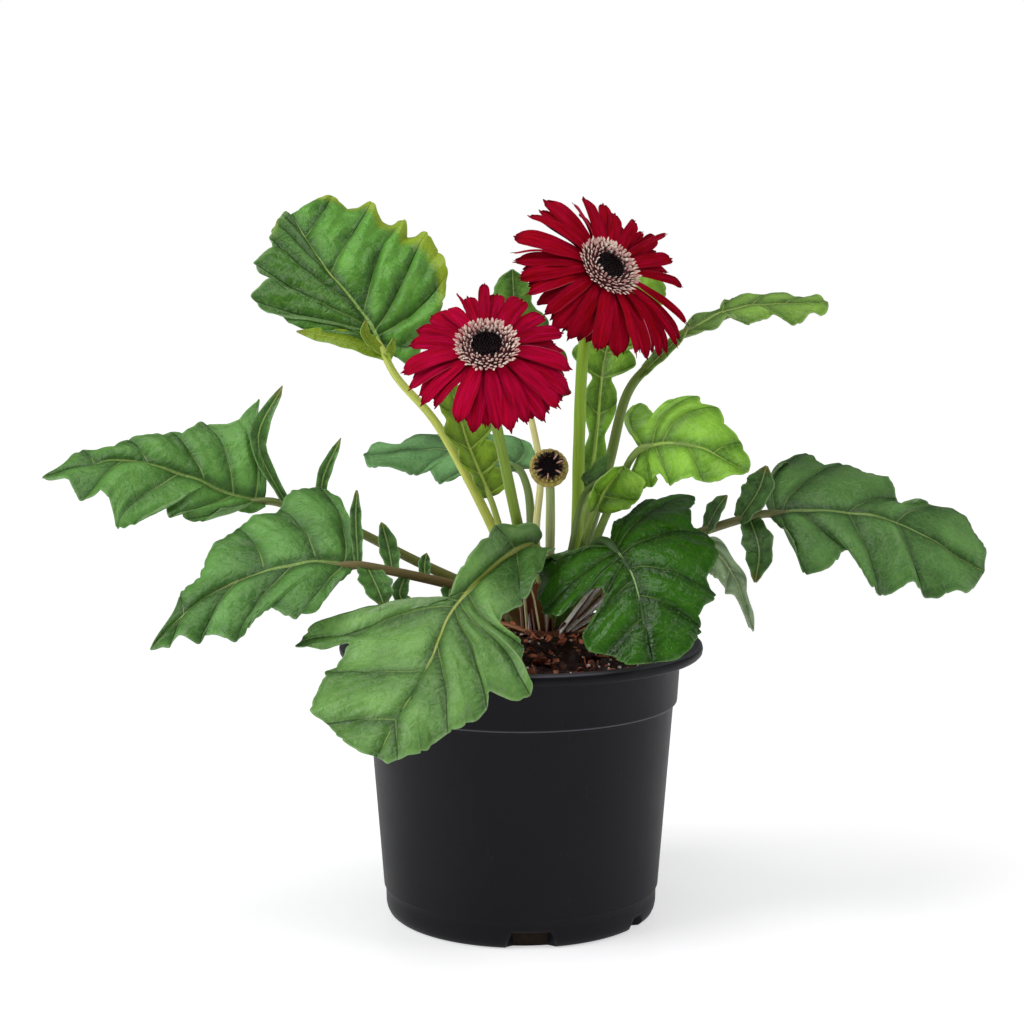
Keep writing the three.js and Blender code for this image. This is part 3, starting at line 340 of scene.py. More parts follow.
LOOKS = {
    "leaf_high_left": dict(
        slot="leaf_mid", dark=(36, 94, 16), light=(104, 166, 62), foot=(214, 220, 96), neck=(204, 222, 104),
        pucker=4.6, pucker_left=1.6, wave=(2.4, 22), wave_left=0.8, gloss=0.36, skew=0.6, slant=1.7, bow=0.1,
        crease=0.5, veins=0.35, line=0.85, left=(44, 86, 8), warm=(148, 174, 40), lime=0.75, wrinkle=0.6,
        point=0.0, fringe=[(-1, 4, 16, 0.82), (1, 10, 16, 0.9)]),
    "leaf_far_left": dict(
        slot="leaf_old", dark=(60, 115, 36), light=(102, 155, 72), foot=(120, 120, 50), neck=(120, 140, 70),
        pucker=2.6, wave=(1.4, 24), gloss=0.38, point=0.8, wrinkle=0.25, tooth=1.9, teeth=12),
    "leaf_low_left": dict(
        slot="leaf_old", dark=(56, 106, 36), light=(96, 148, 70), foot=(120, 92, 50), neck=(120, 122, 66),
        pucker=2.6, wave=(1.4, 24), gloss=0.38, point=0.8, wrinkle=0.25, tooth=1.9, teeth=12),
    "leaf_front_left": dict(
        slot="leaf_mid", dark=(62, 112, 42), light=(114, 160, 82), foot=(130, 150, 60), neck=(150, 176, 84),
        pucker=2.6, wave=(1.2, 22), gloss=0.36, bow=0.0, veins=0.35, line=0.75, midrib=(176, 188, 96),
        rib_end=0.72, tooth=2.4, teeth=13, left=(20, 76, 0), left_end=0.27, point=0.8, wrinkle=0.3),
    "leaf_front_right": dict(
        slot="leaf_deep", dark=(14, 60, 0), light=(44, 98, 6), foot=(56, 92, 20), neck=(34, 76, 12),
        pucker=2.2, wave=(1.2, 24), gloss=0.3, veins=0.3, line=0.5, midrib=(150, 190, 110), rib_end=0.62,
        point=0.6, wrinkle=0.35, specks=0.4, thin=0.55, tooth=1.7, teeth=12),
    "leaf_far_right": dict(
        slot="leaf_old", dark=(50, 97, 36), light=(90, 134, 66), foot=(110, 96, 50), neck=(112, 124, 66),
        pucker=2.8, wave=(1.6, 24), gloss=0.4, veins=0.3, point=0.8, wrinkle=0.3, tooth=1.8, teeth=12),
    "leaf_hanging_right": dict(
        slot="leaf_grey", dark=(110, 144, 94), light=(164, 188, 146), foot=(130, 130, 64),
        neck=(130, 142, 86), pucker=0.8, wave=(1.0, 20), gloss=0.5),
    "leaf_high_right": dict(
        slot="leaf_bright", dark=(84, 132, 38), light=(128, 170, 66), foot=(110, 134, 48),
        neck=(124, 150, 62), pucker=0.9, wave=(1.2, 18), gloss=0.42, point=0.6),
    "leaf_bright_right": dict(
        slot="leaf_bright", dark=(88, 148, 24), light=(138, 192, 58), foot=(120, 150, 50),
        neck=(140, 170, 74), pucker=1.3, wave=(1.0, 20), gloss=0.4, veins=0.45, line=0.35, point=0.8),
    "leaf_young_folded": dict(
        slot="leaf_bright", dark=(86, 142, 23), light=(135, 182, 52), foot=(120, 146, 50),
        neck=(140, 170, 70), pucker=0.6, wave=(0.5, 14), gloss=0.4),
    "leaf_young_dark": dict(
        slot="leaf_deep", dark=(49, 100, 16), light=(76, 129, 34), foot=(100, 120, 46), neck=(104, 134, 54),
        pucker=0.6, wave=(0.5, 14), gloss=0.4),
    "leaf_back_left": dict(
        slot="leaf_grey", dark=(78, 132, 66), light=(130, 186, 118), foot=(120, 140, 66), neck=(130, 160, 80),
        pucker=1.0, wave=(1.0, 20), gloss=0.45, point=0.8),
    "leaf_young_toothed": dict(
        slot="leaf_bright", dark=(108, 152, 23), light=(148, 188, 53), foot=(160, 176, 70),
        neck=(170, 194, 84), pucker=0.5, wave=(0.6, 16), gloss=0.4),
    "leaf_upright_back": dict(
        slot="leaf_deep", dark=(41, 88, 19), light=(92, 142, 50), foot=(250, 246, 176), neck=(244, 240, 150),
        pucker=0.8, wave=(0.8, 20), gloss=0.45),
    "leaf_upright_right": dict(
        slot="leaf_mid", dark=(92, 146, 30), light=(136, 190, 62), foot=(134, 158, 60), neck=(144, 170, 72),
        pucker=0.8, wave=(0.8, 20), gloss=0.45),
    "leaf_back_low": dict(
        slot="leaf_mid", dark=(59, 108, 29), light=(98, 146, 58), foot=(120, 120, 54), neck=(130, 150, 70),
        pucker=1.5, wave=(1.4, 26), gloss=0.44),
    "leaf_back_hanging": dict(
        slot="leaf_old", dark=(59, 106, 31), light=(94, 144, 62), foot=(120, 106, 54), neck=(124, 138, 70),
        pucker=1.3, wave=(1.4, 26), gloss=0.44),
}

# The cup of bracts under an open head and under the bud: [height along the head's axis, radius]
HEAD_CUP = [[-15, 3], [-12, 5], [-8.5, 7.6], [-5.6, 8.9], [-5.2, 8.4]]
BUD_CUP = [[-13, 2.6], [-11, 5], [-6, 8.2], [-2.6, 8.7], [-2, 7.6]]

# Each head: centre of its face and the direction it faces; eye, ring = radii of its dark middle and its pale
# ring; reach = usual reach of a ray; longer = share by which the rays reach further than listed, and wider
# = more of it towards the sides; breadth = factor on their widths; droop = how far their tips lie behind: on
# average, and more to the right and above; stalk, path = radius and line of its stalk; green = its stalk
# at foot and neck; tone = dark and light red. petals = [angle in degrees, reach, half width, rise of the
# tip, roll in degrees, sideways sweep], anticlockwise from the head's right.
FLOWERS = [
    {
        "name": "flower_left", "slot": "ray_crimson", "centre": [-14.7, -50, 260.5],
        "facing": [0, -0.749, 0.663], "eye": 6.4, "ring": 13.8, "reach": 36.5, "wider": 0.07,
        "longer": 0.015, "breadth": 1.1, "droop": [7.5, 0, -5], "stalk": 2.6, "seed": 3,
        "green": [(138, 164, 36), (134, 168, 48)], "tone": [(152, 1, 28), (188, 3, 46)],
        "path": [[8.5, -6, 123], [8, -8, 138], [1, -16, 168], [-5, -25, 197], [-10.5, -34, 224],
                 [-14, -42, 243]],
        "petals": [
            [94, 38, 2.4, 1, 10, -2], [83, 33.4, 3.9, 0, -6, 0], [63, 32.6, 4.4, 0, 8, 0],
            [43, 33, 3.4, -2, 14, 1], [20, 32.6, 3.6, 1, 10, 0], [10, 31, 3.0, -2, -10, 0],
            [-6, 34, 3.9, 0, 6, 0], [-21, 35.4, 4.6, -1, 0, 0], [-35, 36, 4.0, -2, -6, 0],
            [-49, 35.8, 3.3, 0, 8, 0], [-60.5, 33.4, 3.4, -1, -4, 0], [-73, 35, 4.2, 0, 4, 0],
            [-83, 33.6, 3.3, -1, 8, 1], [-98.5, 34.6, 3.5, 0, -6, -1], [-111, 33, 4.1, 0, 6, 0],
            [-132, 31.4, 3.2, 1, 20, 0], [-142, 33.6, 2.8, -1, -10, 0], [-157, 34, 3.4, 0, 16, 0],
            [-171, 34.6, 4.6, 0, 4, 0], [168, 32, 3.2, 1, -18, 0], [156, 31.2, 3.0, 0, -22, 0],
            [137, 31.4, 4.4, 0, -8, 0], [126, 30, 3.6, -1, 6, 0], [110, 34.6, 1.7, 2, 50, 2],
            [106, 31, 3.2, 0, -4, 0],
        ],
    },
    {
        "name": "flower_right", "slot": "ray_red", "centre": [39, 0, 293.3],
        "facing": [0.478, -0.669, 0.569], "eye": 6.6, "ring": 15.2, "reach": 41.5, "wider": 0.01,
        "longer": 0.03, "breadth": 1.14, "droop": [5.5, -3.5, -3.5], "stalk": 2.9, "seed": 8,
        "green": [(148, 176, 34), (152, 200, 46)], "tone": [(140, 0, 14), (170, 2, 26)],
        "path": [[19, 0, 123], [21, 0, 140], [25, 0, 168], [26, 1, 212], [27.5, 3, 252], [31, 8, 276]],
        "petals": [
            [113.5, 43, 3.7, 0, 8, 1], [101, 42, 3.0, 0, -8, 0], [93, 37.6, 3.2, 0, 6, 0],
            [78, 42.6, 2.8, 0, 22, 0], [62, 45.4, 1.6, 3, 55, -4], [60, 43.6, 3.1, 0, 8, 2],
            [45, 40.8, 3.4, 0, -6, -1], [30, 41.6, 1.7, 1, 50, -6], [4, 44.5, 1.5, 0, 46, -8],
            [-5, 45, 1.8, -1, 44, -9], [-13, 45.4, 1.7, 0, 44, -9], [-21, 45, 2.0, 0, 40, -8],
            [-29, 44, 2.1, 0, 36, -6], [-39, 42.6, 3.3, 0, 12, -4],
            [-51, 41, 2.7, 0, -16, 0], [-63.5, 40, 4.4, 0, 6, 0], [-79, 40.4, 3.9, 0, -4, 0],
            [-91, 37, 3.4, -1, 4, 0], [-98, 40.9, 3.4, 0, -8, 0], [-108.5, 40.4, 3.6, 0, 4, 0],
            [-120, 39.4, 2.9, 0, -8, 1], [-137, 39.2, 3.1, 0, 10, 0], [-148, 40.4, 3.4, 0, -4, 0],
            [-161, 40.4, 3.7, 0, 6, 0], [-168, 41.4, 1.6, 1, 40, 1], [178.4, 41.2, 4.6, 0, -4, 0],
            [159, 41.3, 3.2, 0, 8, 0], [139, 44.6, 4.6, 0, -6, 0], [126, 37, 1.5, 2, 60, 2],
            [148, 40.5, 3.4, -1, 4, 0],
        ],
    },
]
BUD = {
    "name": "bud", "centre": [12.2, -20, 206.4], "facing": [0, -0.94, 0.34],
    "eye": 4.6, "ring": 8.2, "stalk": 2.3, "seed": 5,
    "path": [[12, 0, 123], [12.5, -2, 140], [13, -8, 172], [13, -10, 193]],
}
# Rows of bracts on the cups: [foot and tip along the head's axis, number, half width, bulge, lean outwards]
HEAD_BRACTS = [[-14, -7.5, 13, 1.8, 0.2, 0.0], [-12, -5.6, 15, 1.8, 0.55, 0.0]]
BUD_BRACTS = [
    [-12.5, -5.0, 11, 2.0, 0.1, 0.0], [-9.5, -2.2, 14, 1.9, 0.25, -0.2],
    [-6.5, 0.4, 18, 1.5, 0.3, -1.0], [-4.0, 1.3, 22, 1.1, 0.1, -1.9],
]
# Whorls of florets: [place from eye to rim, number, length, width, curl outwards, rise of their feet]
WHORLS = [
    [0.02, 22, 1.9, 0.62, -0.3, 2.9], [0.22, 28, 2.0, 0.68, 0.2, 2.7], [0.42, 34, 2.0, 0.7, 0.5, 2.2],
    [0.62, 40, 2.0, 0.7, 0.8, 1.5], [0.8, 46, 2.2, 0.68, 1.2, 0.8], [0.92, 44, 2.0, 0.62, 1.6, -0.6],
]

# Kinds of dried leaf bases: colour in the furrows, on the ridges and inside
DRIED = {
    "cream": [(240, 214, 160), (255, 250, 232), (150, 96, 60)],
    "straw": [(206, 160, 92), (246, 224, 168), (112, 62, 38)],
    "brown": [(66, 32, 20), (122, 72, 44), (34, 16, 12)],
    "rust": [(120, 62, 38), (196, 132, 96), (70, 32, 22)],
    "plum": [(104, 66, 66), (168, 132, 118), (60, 30, 30)],
}
# Dried leaf bases round the crown, their places and headings in degrees from the right, seen from above:
# [place, length, rise in degrees, half width, kind, heading]
SHEATHS = [
    [-70, 31, 54, 4.2, "cream", -34], [-62, 31, 44, 4.6, "cream", -25], [-56, 29, 34, 4.2, "cream", -17],
    [-50, 27, 24, 3.8, "straw", -11], [-66, 26, 49, 2.2, "brown", -30], [-44, 25, 16, 3.6, "straw", -12],
    [-58, 25, 29, 2.0, "brown", -15],
    [40, 13, 50, 1.8, "straw", 40], [66, 15, 40, 2.0, "brown", 66], [112, 14, 42, 1.8, "straw", 112],
    [222, 15, 14, 2.4, "rust", 216], [238, 22, 22, 3.6, "rust", 200], [246, 28, 72, 3.2, "plum", 250],
    [258, 27, 74, 4.4, "cream", 262], [252, 25, 66, 3.4, "straw", 256], [272, 10, 60, 1.6, "brown", 272],
    [284, 9, 50, 1.8, "plum", 290], [-8, 14, 36, 2.0, "straw", -8], [20, 12, 48, 1.8, "brown", 20],
    [90, 12, 40, 1.8, "brown", 90], [140, 12, 40, 1.8, "straw", 140], [170, 12, 30, 1.8, "brown", 170],
]

# The wall of the pot: [radius, height] from the middle of the foot over the rim to the floor inside. Rows
# of the foot also have the place to which they move inside a notch: its radius, and its height as a share
# of the notch's height.
FOOT_ROWS = [
    [57.6, 0, 55.4, 0], [59.6, 0.4, 55.6, 0.88], [60.7, 1.3, 58.0, 0.93], [61.5, 3.0, 61.2, 0.96],
    [61.9, 5.0, 61.7, 1.0], [61.95, 7.0, 61.9, 1.05], [62.0, 9.4, 61.95, 1.2],
]
WALL_ROWS = [
    [62.05, 12.5], [62.3, 12.95], [62.9, 13.2], [69.35, 97.3], [69.6, 97.9], [70.4, 98.1],
    [71.0, 98.6], [71.15, 99.4], [72.35, 118.9], [72.7, 119.5], [80.2, 119.75], [81.4, 120.0],
    [82.2, 120.8], [82.5, 122.4], [82.2, 123.9], [81.4, 124.7], [80.4, 125], [77.5, 124.9], [75.6, 124.3],
    [72.6, 121.9], [71.4, 119.9], [70.9, 118.0], [69.6, 97.4], [69.2, 96.6], [67.9, 95.8], [61.4, 13.6],
]
INNER_ROWS = [[60.6, 7.4, 60.4, 1.5], [60.4, 5, 55.0, 1.33], [58, 2.5, 53.4, 1.08], [57, 2.5, 53.2, 0.42]]

# ---------------------------------------------------------------- curves and small tools


def catmull_at(points, t, tension):
    """A smooth curve through points but for the first and last, which only steer it. t counts its spans."""
    spans = len(points) - 3
    k = np.clip(t.astype(int), 0, spans - 1)
    u = (t - k)[:, None]
    a, b, c, d = points[k], points[k + 1], points[k + 2], points[k + 3]
    v0 = (c - a) * tension
    v1 = (d - b) * tension
    return (2 * b - 2 * c + v0 + v1) * u ** 3 + (-3 * b + 3 * c - 2 * v0 - v1) * u ** 2 + v0 * u + b


def unit(v):
    return v / np.maximum(np.linalg.norm(v, axis=-1, keepdims=True), 1e-9)


def smoothstep(low, high, x):
    t = np.clip((x - low) / (high - low), 0, 1)
    return t * t * (3 - 2 * t)


class Path:
    """A smooth curve through points, measured by length along it."""

    def __init__(self, points):
        p = np.array(points, float)
        ends = np.vstack([2 * p[0] - p[1], p, 2 * p[-1] - p[-2]])
        self.samples = catmull_at(ends, np.linspace(0, len(p) - 1, 1200), 0.5)
        steps = np.linalg.norm(np.diff(self.samples, axis=0), axis=1)
        self.lengths = np.concatenate([[0], np.cumsum(steps)])
        self.length = self.lengths[-1]

    def at(self, x):
        x = np.clip(x, 0, self.length)
        return np.stack([np.interp(x, self.lengths, self.samples[:, i]) for i in range(3)], -1)

    def tangent(self, x):
        x = np.asarray(x, float)
        return unit(self.at(x + 1) - self.at(x - 1))


def ripple(seed, size, *coords):
    """Smooth random waves of about 1 high, from a few sines whose length is about size."""
    rng = np.random.default_rng(seed)
    total = 0
    for _ in range(6):
        direction = rng.normal(size=len(coords))
        direction /= np.linalg.norm(direction)
        length = size * rng.uniform(0.7, 1.5)
        phase = rng.uniform(0, FULL_TURN)
        total = total + np.sin(sum(d * c for d, c in zip(direction, coords)) * FULL_TURN / length + phase)
    return total / 2.4


# ---------------------------------------------------------------- meshes


class Piece:
    """Gathers points, faces and point values, and becomes one object."""

    def __init__(self, name):
        self.name = name
        self.points = []
        self.faces = []
        self.kinds = []
        self.values = []
        self.count = 0

    def add(self, points, faces, kind=0, **values):
        """kind = number of the material, one for all faces or one for each. A value is for all points or
        for each point, and flat, the place on the flat surface, has three numbers."""
        points = np.asarray(points, float).reshape(-1, 3)
        self.points.append(points)
        self.faces += [[i + self.count for i in face] for face in faces]
        self.kinds += np.broadcast_to(kind, len(faces)).tolist()
        self.values.append(values)
        self.count += len(points)

    def add_sheet(self, top, up, thickness, kind, flat, **values):
        """Adds a closed thin sheet under a grid of points. Values and the three parts of flat are for all
        points or for the grid. The value under is 0 on the upper side and 1 on the lower one."""
        points, faces = sheet(top, up, thickness)
        shape = top.shape[:2]

        def both_sides(value):
            return np.concatenate([np.broadcast_to(value, shape).ravel()] * 2)

        values = {key: both_sides(value) for key, value in values.items()}
        values["flat"] = np.stack([both_sides(value) for value in flat], -1)
        values["under"] = np.repeat([0.0, 1.0], len(points) // 2)
        self.add(points, faces, kind, **values)

    def build(self, materials, sharp=50):
        """Makes the object. Edges between faces that meet at more than sharp degrees stay sharp."""
        mesh = bpy.data.meshes.new(self.name)
        mesh.from_pydata((np.concatenate(self.points) * MM).tolist(), [], self.faces)
        for key in sorted({key for values in self.values for key in values}):
            kind, field, width = ("FLOAT_VECTOR", "vector", 3) if key == "flat" else ("FLOAT", "value", 1)
            data = np.zeros((self.count, width), np.float32)
            start = 0
            for points, values in zip(self.points, self.values):
                if key in values:
                    data[start:start + len(points)] = np.reshape(values[key], (-1, width))
                start += len(points)
            mesh.attributes.new(key, kind, "POINT").data.foreach_set(field, data.ravel())
        for material in materials:
            mesh.materials.append(material)
        mesh.polygons.foreach_set("material_index", self.kinds)
        mesh.polygons.foreach_set("use_smooth", [True] * len(self.faces))
        mesh.update()
        mesh.set_sharp_from_angle(angle=math.radians(sharp))
        obj = bpy.data.objects.new(self.name, mesh)
        bpy.context.scene.collection.objects.link(obj)
        return obj


def dress(piece, slot, node):
    """Lets a finished piece stand for a CAD node: hangs it under the root and hides the node. slot is not
    used.
    """
    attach(piece, "root")
    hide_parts(node)


def circle(sides):
    """Angles of the corners of a ring."""
    return np.arange(sides) / sides * FULL_TURN


def ring(sides, radius, height):
    """A level ring of points round the z axis."""
    turn = circle(sides)
    return np.stack([radius * np.cos(turn), radius * np.sin(turn), np.broadcast_to(height, sides)], -1)


def grid_faces(rows, cols, start=0, turned=False, closed=False):
    """Faces of a grid of points. closed = its last column meets the first one."""
    faces = []
    for i in range(rows - 1):
        for j in range(cols if closed else cols - 1):
            a = start + i * cols + j
            b = start + i * cols + (j + 1) % cols
            quad = [a, b, b + cols, a + cols]
            faces.append(quad[::-1] if turned else quad)
    return faces


def sheet(top, up, thickness):
    """A closed thin sheet under a grid of points. up = rough direction of its upper side, per point."""
    rows, cols, _ = top.shape
    normal = unit(np.cross(np.gradient(top, axis=1), np.gradient(top, axis=0)))
    turned = np.mean(np.sum(normal * up, -1)) < 0
    if turned:
        normal = -normal
    below = top - normal * np.asarray(thickness)[..., None]
    n = rows * cols
    faces = grid_faces(rows, cols, 0, turned) + grid_faces(rows, cols, n, not turned)
    edge = [(0, j) for j in range(cols)] + [(i, cols - 1) for i in range(1, rows)]
    edge += [(rows - 1, j) for j in range(cols - 2, -1, -1)] + [(i, 0) for i in range(rows - 2, 0, -1)]
    ids = [i * cols + j for i, j in edge]
    for a, b in zip(ids, ids[1:] + ids[:1]):
        wall = [b, a, a + n, b + n]
        faces.append(wall[::-1] if turned else wall)
    return np.concatenate([top.reshape(-1, 3), below.reshape(-1, 3)]), faces


def tube(centres, radii, sides, up=(0.0, 0.0, 1.0), squash=1.0):
    """A closed tube round a line of points, with its ends capped. squash = its height over its width."""
    centres = np.asarray(centres, float)
    radii = np.broadcast_to(np.asarray(radii, float), (len(centres),))
    turn = circle(sides)
    v = np.array(up, float)
    rings = []
    for centre, direction, radius in zip(centres, unit(np.gradient(centres, axis=0)), radii):
        v = v - direction * np.dot(v, direction)
        if np.linalg.norm(v) < 1e-3:
            v = np.cross(direction, [1.0, 0.3, 0.2])
        v = v / np.linalg.norm(v)
        u = np.cross(v, direction)
        rings.append(centre + radius * (np.cos(turn)[:, None] * u + squash * np.sin(turn)[:, None] * v))
    last = (len(centres) - 1) * sides
    faces = grid_faces(len(centres), sides, turned=True, closed=True)
    faces += [list(range(sides)), list(range(last, last + sides))[::-1]]
    return np.concatenate(rings), faces


def along_tube(x, radius, sides):
    """Place on the flat surface of a tube's points, for materials that run along it."""
    turn = np.tile(circle(sides), len(x))
    radius = np.repeat(np.broadcast_to(radius, x.shape), sides)
    return np.stack([np.repeat(x, sides), radius * np.cos(turn), radius * np.sin(turn)], -1)


def blob(rng, size, rough=0.3, rings=5, sides=7):
    """A small irregular lump round the origin, size = its three half sizes."""
    points = [[0, 0, -1.0]]
    for i in range(1, rings):
        z = -math.cos(math.pi * i / rings)
        r = math.sin(math.pi * i / rings)
        for j in range(sides):
            a = FULL_TURN * (j + 0.5 * (i % 2)) / sides
            points.append([r * math.cos(a), r * math.sin(a), z])
    points.append([0, 0, 1.0])
    points = np.array(points) * (1 + rng.uniform(-rough, rough, (len(points), 1)))
    top = len(points) - 1
    start = 1 + (rings - 2) * sides
    faces = [[0, 1 + (j + 1) % sides, 1 + j] for j in range(sides)]
    faces += grid_faces(rings - 1, sides, 1, closed=True)
    faces += [[start + j, start + (j + 1) % sides, top] for j in range(sides)]
    return points * np.array(size), faces


def turn_matrix(rng):
    """A random rotation."""
    q = rng.normal(size=4)
    w, x, y, z = q / np.linalg.norm(q)
    return np.array([
        [1 - 2 * (y * y + z * z), 2 * (x * y - z * w), 2 * (x * z + y * w)],
        [2 * (x * y + z * w), 1 - 2 * (x * x + z * z), 2 * (y * z - x * w)],
        [2 * (x * z - y * w), 2 * (y * z + x * w), 1 - 2 * (x * x + y * y)],
    ])

# ---------------------------------------------------------------- materials


def srgb(colour):
    """A linear colour from sRGB values, 0 to 255."""
    parts = [c / 255 for c in colour]
    return tuple(c / 12.92 if c <= 0.04045 else ((c + 0.055) / 1.055) ** 2.4 for c in parts) + (1.0,)


def shade(colour, factor, more=(0, 0, 0)):
    """A colour made darker or lighter by a factor, with more added to it."""
    return tuple(min(255, c * factor + m) for c, m in zip(colour, more))


class Shader:
    """A material with short calls for the nodes that it needs. A colour is a socket or sRGB values."""

    def __init__(self, name, roughness, **sockets):
        self.material = bpy.data.materials.new(name)
        self.material.use_nodes = True
        self.tree = self.material.node_tree
        self.surface = self.tree.nodes["Principled BSDF"]
        self.surface.inputs["Roughness"].default_value = roughness
        for key, value in sockets.items():
            self.surface.inputs[key.replace("_", " ")].default_value = value

    def node(self, node_kind, settings=None, **inputs):
        node = self.tree.nodes.new(node_kind)
        for key, value in (settings or {}).items():
            setattr(node, key, value)
        for key, value in inputs.items():
            self.feed(node.inputs[key.replace("_", " ")], value)
        return node

    def feed(self, socket, value):
        if isinstance(value, bpy.types.NodeSocket):
            self.tree.links.new(value, socket)
        else:
            socket.default_value = value

    def value(self, name, output="Fac"):
        """A value of the mesh's points."""
        return self.node("ShaderNodeAttribute", {"attribute_name": name}).outputs[output]

    def place(self):
        return self.node("ShaderNodeTexCoord").outputs["Object"]

    def calculate(self, node_kind, operation, values):
        node = self.node(node_kind, {"operation": operation})
        for socket, value in zip(node.inputs, values):
            self.feed(socket, value)
        return node.outputs[0]

    def math(self, operation, *values):
        return self.calculate("ShaderNodeMath", operation, values)

    def vectors(self, operation, *values):
        return self.calculate("ShaderNodeVectorMath", operation, values)

    def times(self, first, *others):
        for other in others:
            first = self.math("MULTIPLY", first, other)
        return first

    def plus(self, first, *others):
        for other in others:
            first = self.math("ADD", first, other)
        return first

    def step(self, value, low, high, to_low=0.0, to_high=1.0):
        """A smooth change from to_low to to_high while the value goes from low to high."""
        node = self.node("ShaderNodeMapRange", {"interpolation_type": "SMOOTHSTEP"}, Value=value,
                         From_Min=low, From_Max=high, To_Min=to_low, To_Max=to_high)
        return node.outputs["Result"]

    def fall(self, value, low, high, top=1.0):
        return self.step(value, low, high, top, 0.0)

    def noise(self, vector, scale, detail=3.0, roughness=0.55):
        node = self.node("ShaderNodeTexNoise", Vector=vector, Scale=scale, Detail=detail, Roughness=roughness)
        return node.outputs["Fac"]

    def streaks(self, flat, factors, detail, roughness=0.55):
        """Noise stretched along the flat surface."""
        return self.noise(self.vectors("MULTIPLY", flat, factors), 1.0, detail, roughness)

    def cell_edges(self, vector, scale):
        node = self.node("ShaderNodeTexVoronoi", {"feature": "DISTANCE_TO_EDGE"}, Vector=vector, Scale=scale)
        return node.outputs["Distance"]

    def mix(self, share, *colours):
        """From the first colour, at a share of 0, to the second one, at 1."""
        node = self.node("ShaderNodeMix", {"data_type": "RGBA"})
        self.feed(node.inputs[0], share)
        for socket, colour in zip(node.inputs[6:8], colours):
            self.feed(socket, srgb(colour) if isinstance(colour, tuple) else colour)
        return node.outputs[2]

    def finish(self, colour, bump=None, strength=1.0, roughness=None):
        """Sets the colour, and the bump from a height in millimetres and the roughness where given."""
        self.feed(self.surface.inputs["Base Color"], colour)
        if bump is not None:
            node = self.node("ShaderNodeBump", Height=bump, Strength=strength, Distance=MM)
            self.feed(self.surface.inputs["Normal"], node.outputs["Normal"])
        if roughness is not None:
            self.feed(self.surface.inputs["Roughness"], roughness)
        return self.material


def leaf_material(name, look):
    """A leaf blade: swellings between the side veins with painted light and shade, thin veins and margins,
    and a paler underside.
    """
    s = Shader(name, look["gloss"], Specular_IOR_Level=0.3)
    dark, light = look["dark"], look["light"]
    # deep is the green of the painted shade in creases, along the veins and beside the rib
    deep = shade(dark, 0.55)
    pale = shade(light, 0.55, (84, 86, 50))
    # a grey green for the paler underside and for the painted highlight along the margin
    underside_and_rim_highlight = shade(light, 0.6, (66, 66, 66))
    # patches, with painted light on the swellings and painted shade in the hollows between them
    flat = s.value("flat", "Vector")
    blotches = s.step(s.noise(flat, 0.06, 2.0), 0.34, 0.66)
    small = s.step(s.noise(flat, 0.5), 0.34, 0.66)
    share = s.plus(s.times(s.value("swell"), 0.62), s.times(blotches, 0.26), s.times(small, 0.12))
    body = s.mix(share, shade(dark, 0.78), shade(light, 1.12))
    # painted shade over the left half of the blade, from its base up to the share left_end
    if "left" in look:
        body = s.mix(s.times(s.value("left"), 0.65), body, look["left"])
    # a coarse and a fine net of thin veins
    warp = s.node("ShaderNodeTexNoise", Vector=flat, Scale=0.16, Detail=2.0).outputs["Color"]
    warped = s.vectors("ADD", flat, s.vectors("MULTIPLY", warp, (4.0, 4.0, 4.0)))
    net = s.cell_edges(warped, 0.2)
    fine = s.cell_edges(warped, 0.5)
    thin = s.plus(s.times(s.fall(net, 0.01, 0.07), 0.14), s.times(s.fall(fine, 0.02, 0.10), 0.06))
    body = s.mix(thin, body, pale)
    # painted shade beside the side veins, then painted shade along their outer part and the pale colour of
    # their inner part
    run = s.value("run")
    distance = s.value("vein")
    crease = s.times(s.step(distance, 0.2, 0.7), s.fall(distance, 0.8, 3.6))
    crease = s.times(crease, s.math("MULTIPLY_ADD", run, -0.6, 1.0), look["crease"])
    body = s.mix(crease, body, deep)
    width = s.math("MULTIPLY_ADD", run, -0.22, 0.36)
    vein = s.fall(s.math("DIVIDE", distance, width), 0.5, 1.8)
    inner = s.fall(run, 0.15, 0.75)
    body = s.mix(s.times(s.math("SUBTRACT", 1.0, inner), vein, look["line"]), body, deep)
    body = s.mix(s.times(vein, inner, look["veins"]), body, pale)
    if "specks" in look:
        speck = s.step(s.noise(flat, 0.9, 2.0), 0.68, 0.76)
        body = s.mix(s.times(speck, look["specks"]), body, (150, 188, 120))
    # the rib with painted shade beside it, and the margin with a band of painted shade inside it and a
    # painted highlight along it
    from_rib = s.value("rib")
    rib = s.fall(from_rib, 0.55, 1.1)
    # painted shade beside the rib
    painted_rib_shade = s.times(s.step(from_rib, 0.9, 1.3), s.fall(from_rib, 1.5, 5.0))
    body = s.mix(s.times(painted_rib_shade, 0.35), body, deep)
    body = s.mix(s.times(rib, 0.9), body, look.get("midrib", pale))
    edge = s.value("edge")
    # painted shade in a band just inside the margin
    inside = s.times(s.step(edge, 0.5, 1.2), s.fall(edge, 1.4, 4.0))
    body = s.mix(s.times(inside, 0.25), body, shade(dark, 0.6))
    # painted highlight along the margin
    body = s.mix(s.times(s.fall(edge, 0.15, 0.6), 0.5), body, underside_and_rim_highlight)
    body = s.mix(s.value("warm"), body, look["warm"])
    body = s.mix(s.times(s.step(s.value("tip"), 0.0, 1.0), 0.8), body, (150, 116, 56))
    under = s.value("under")
    body = s.mix(s.times(under, 0.5), body, underside_and_rim_highlight)
    # veins are grooves above and stand out below
    side = s.math("MULTIPLY_ADD", under, 1.7, -1.0)
    grooves = s.times(s.math("MAXIMUM", s.times(vein, 0.4), s.times(rib, 0.3)), side)
    puffs = s.plus(s.times(s.step(net, 0.0, 0.35), 0.24), s.times(s.step(fine, 0.0, 0.35), 0.10))
    height = s.plus(grooves, puffs, s.times(s.noise(flat, 0.14), 1.1))
    return s.finish(body, height, 0.9, s.plus(s.times(s.noise(flat, 0.3, 2.0), 0.16), look["gloss"] - 0.08))


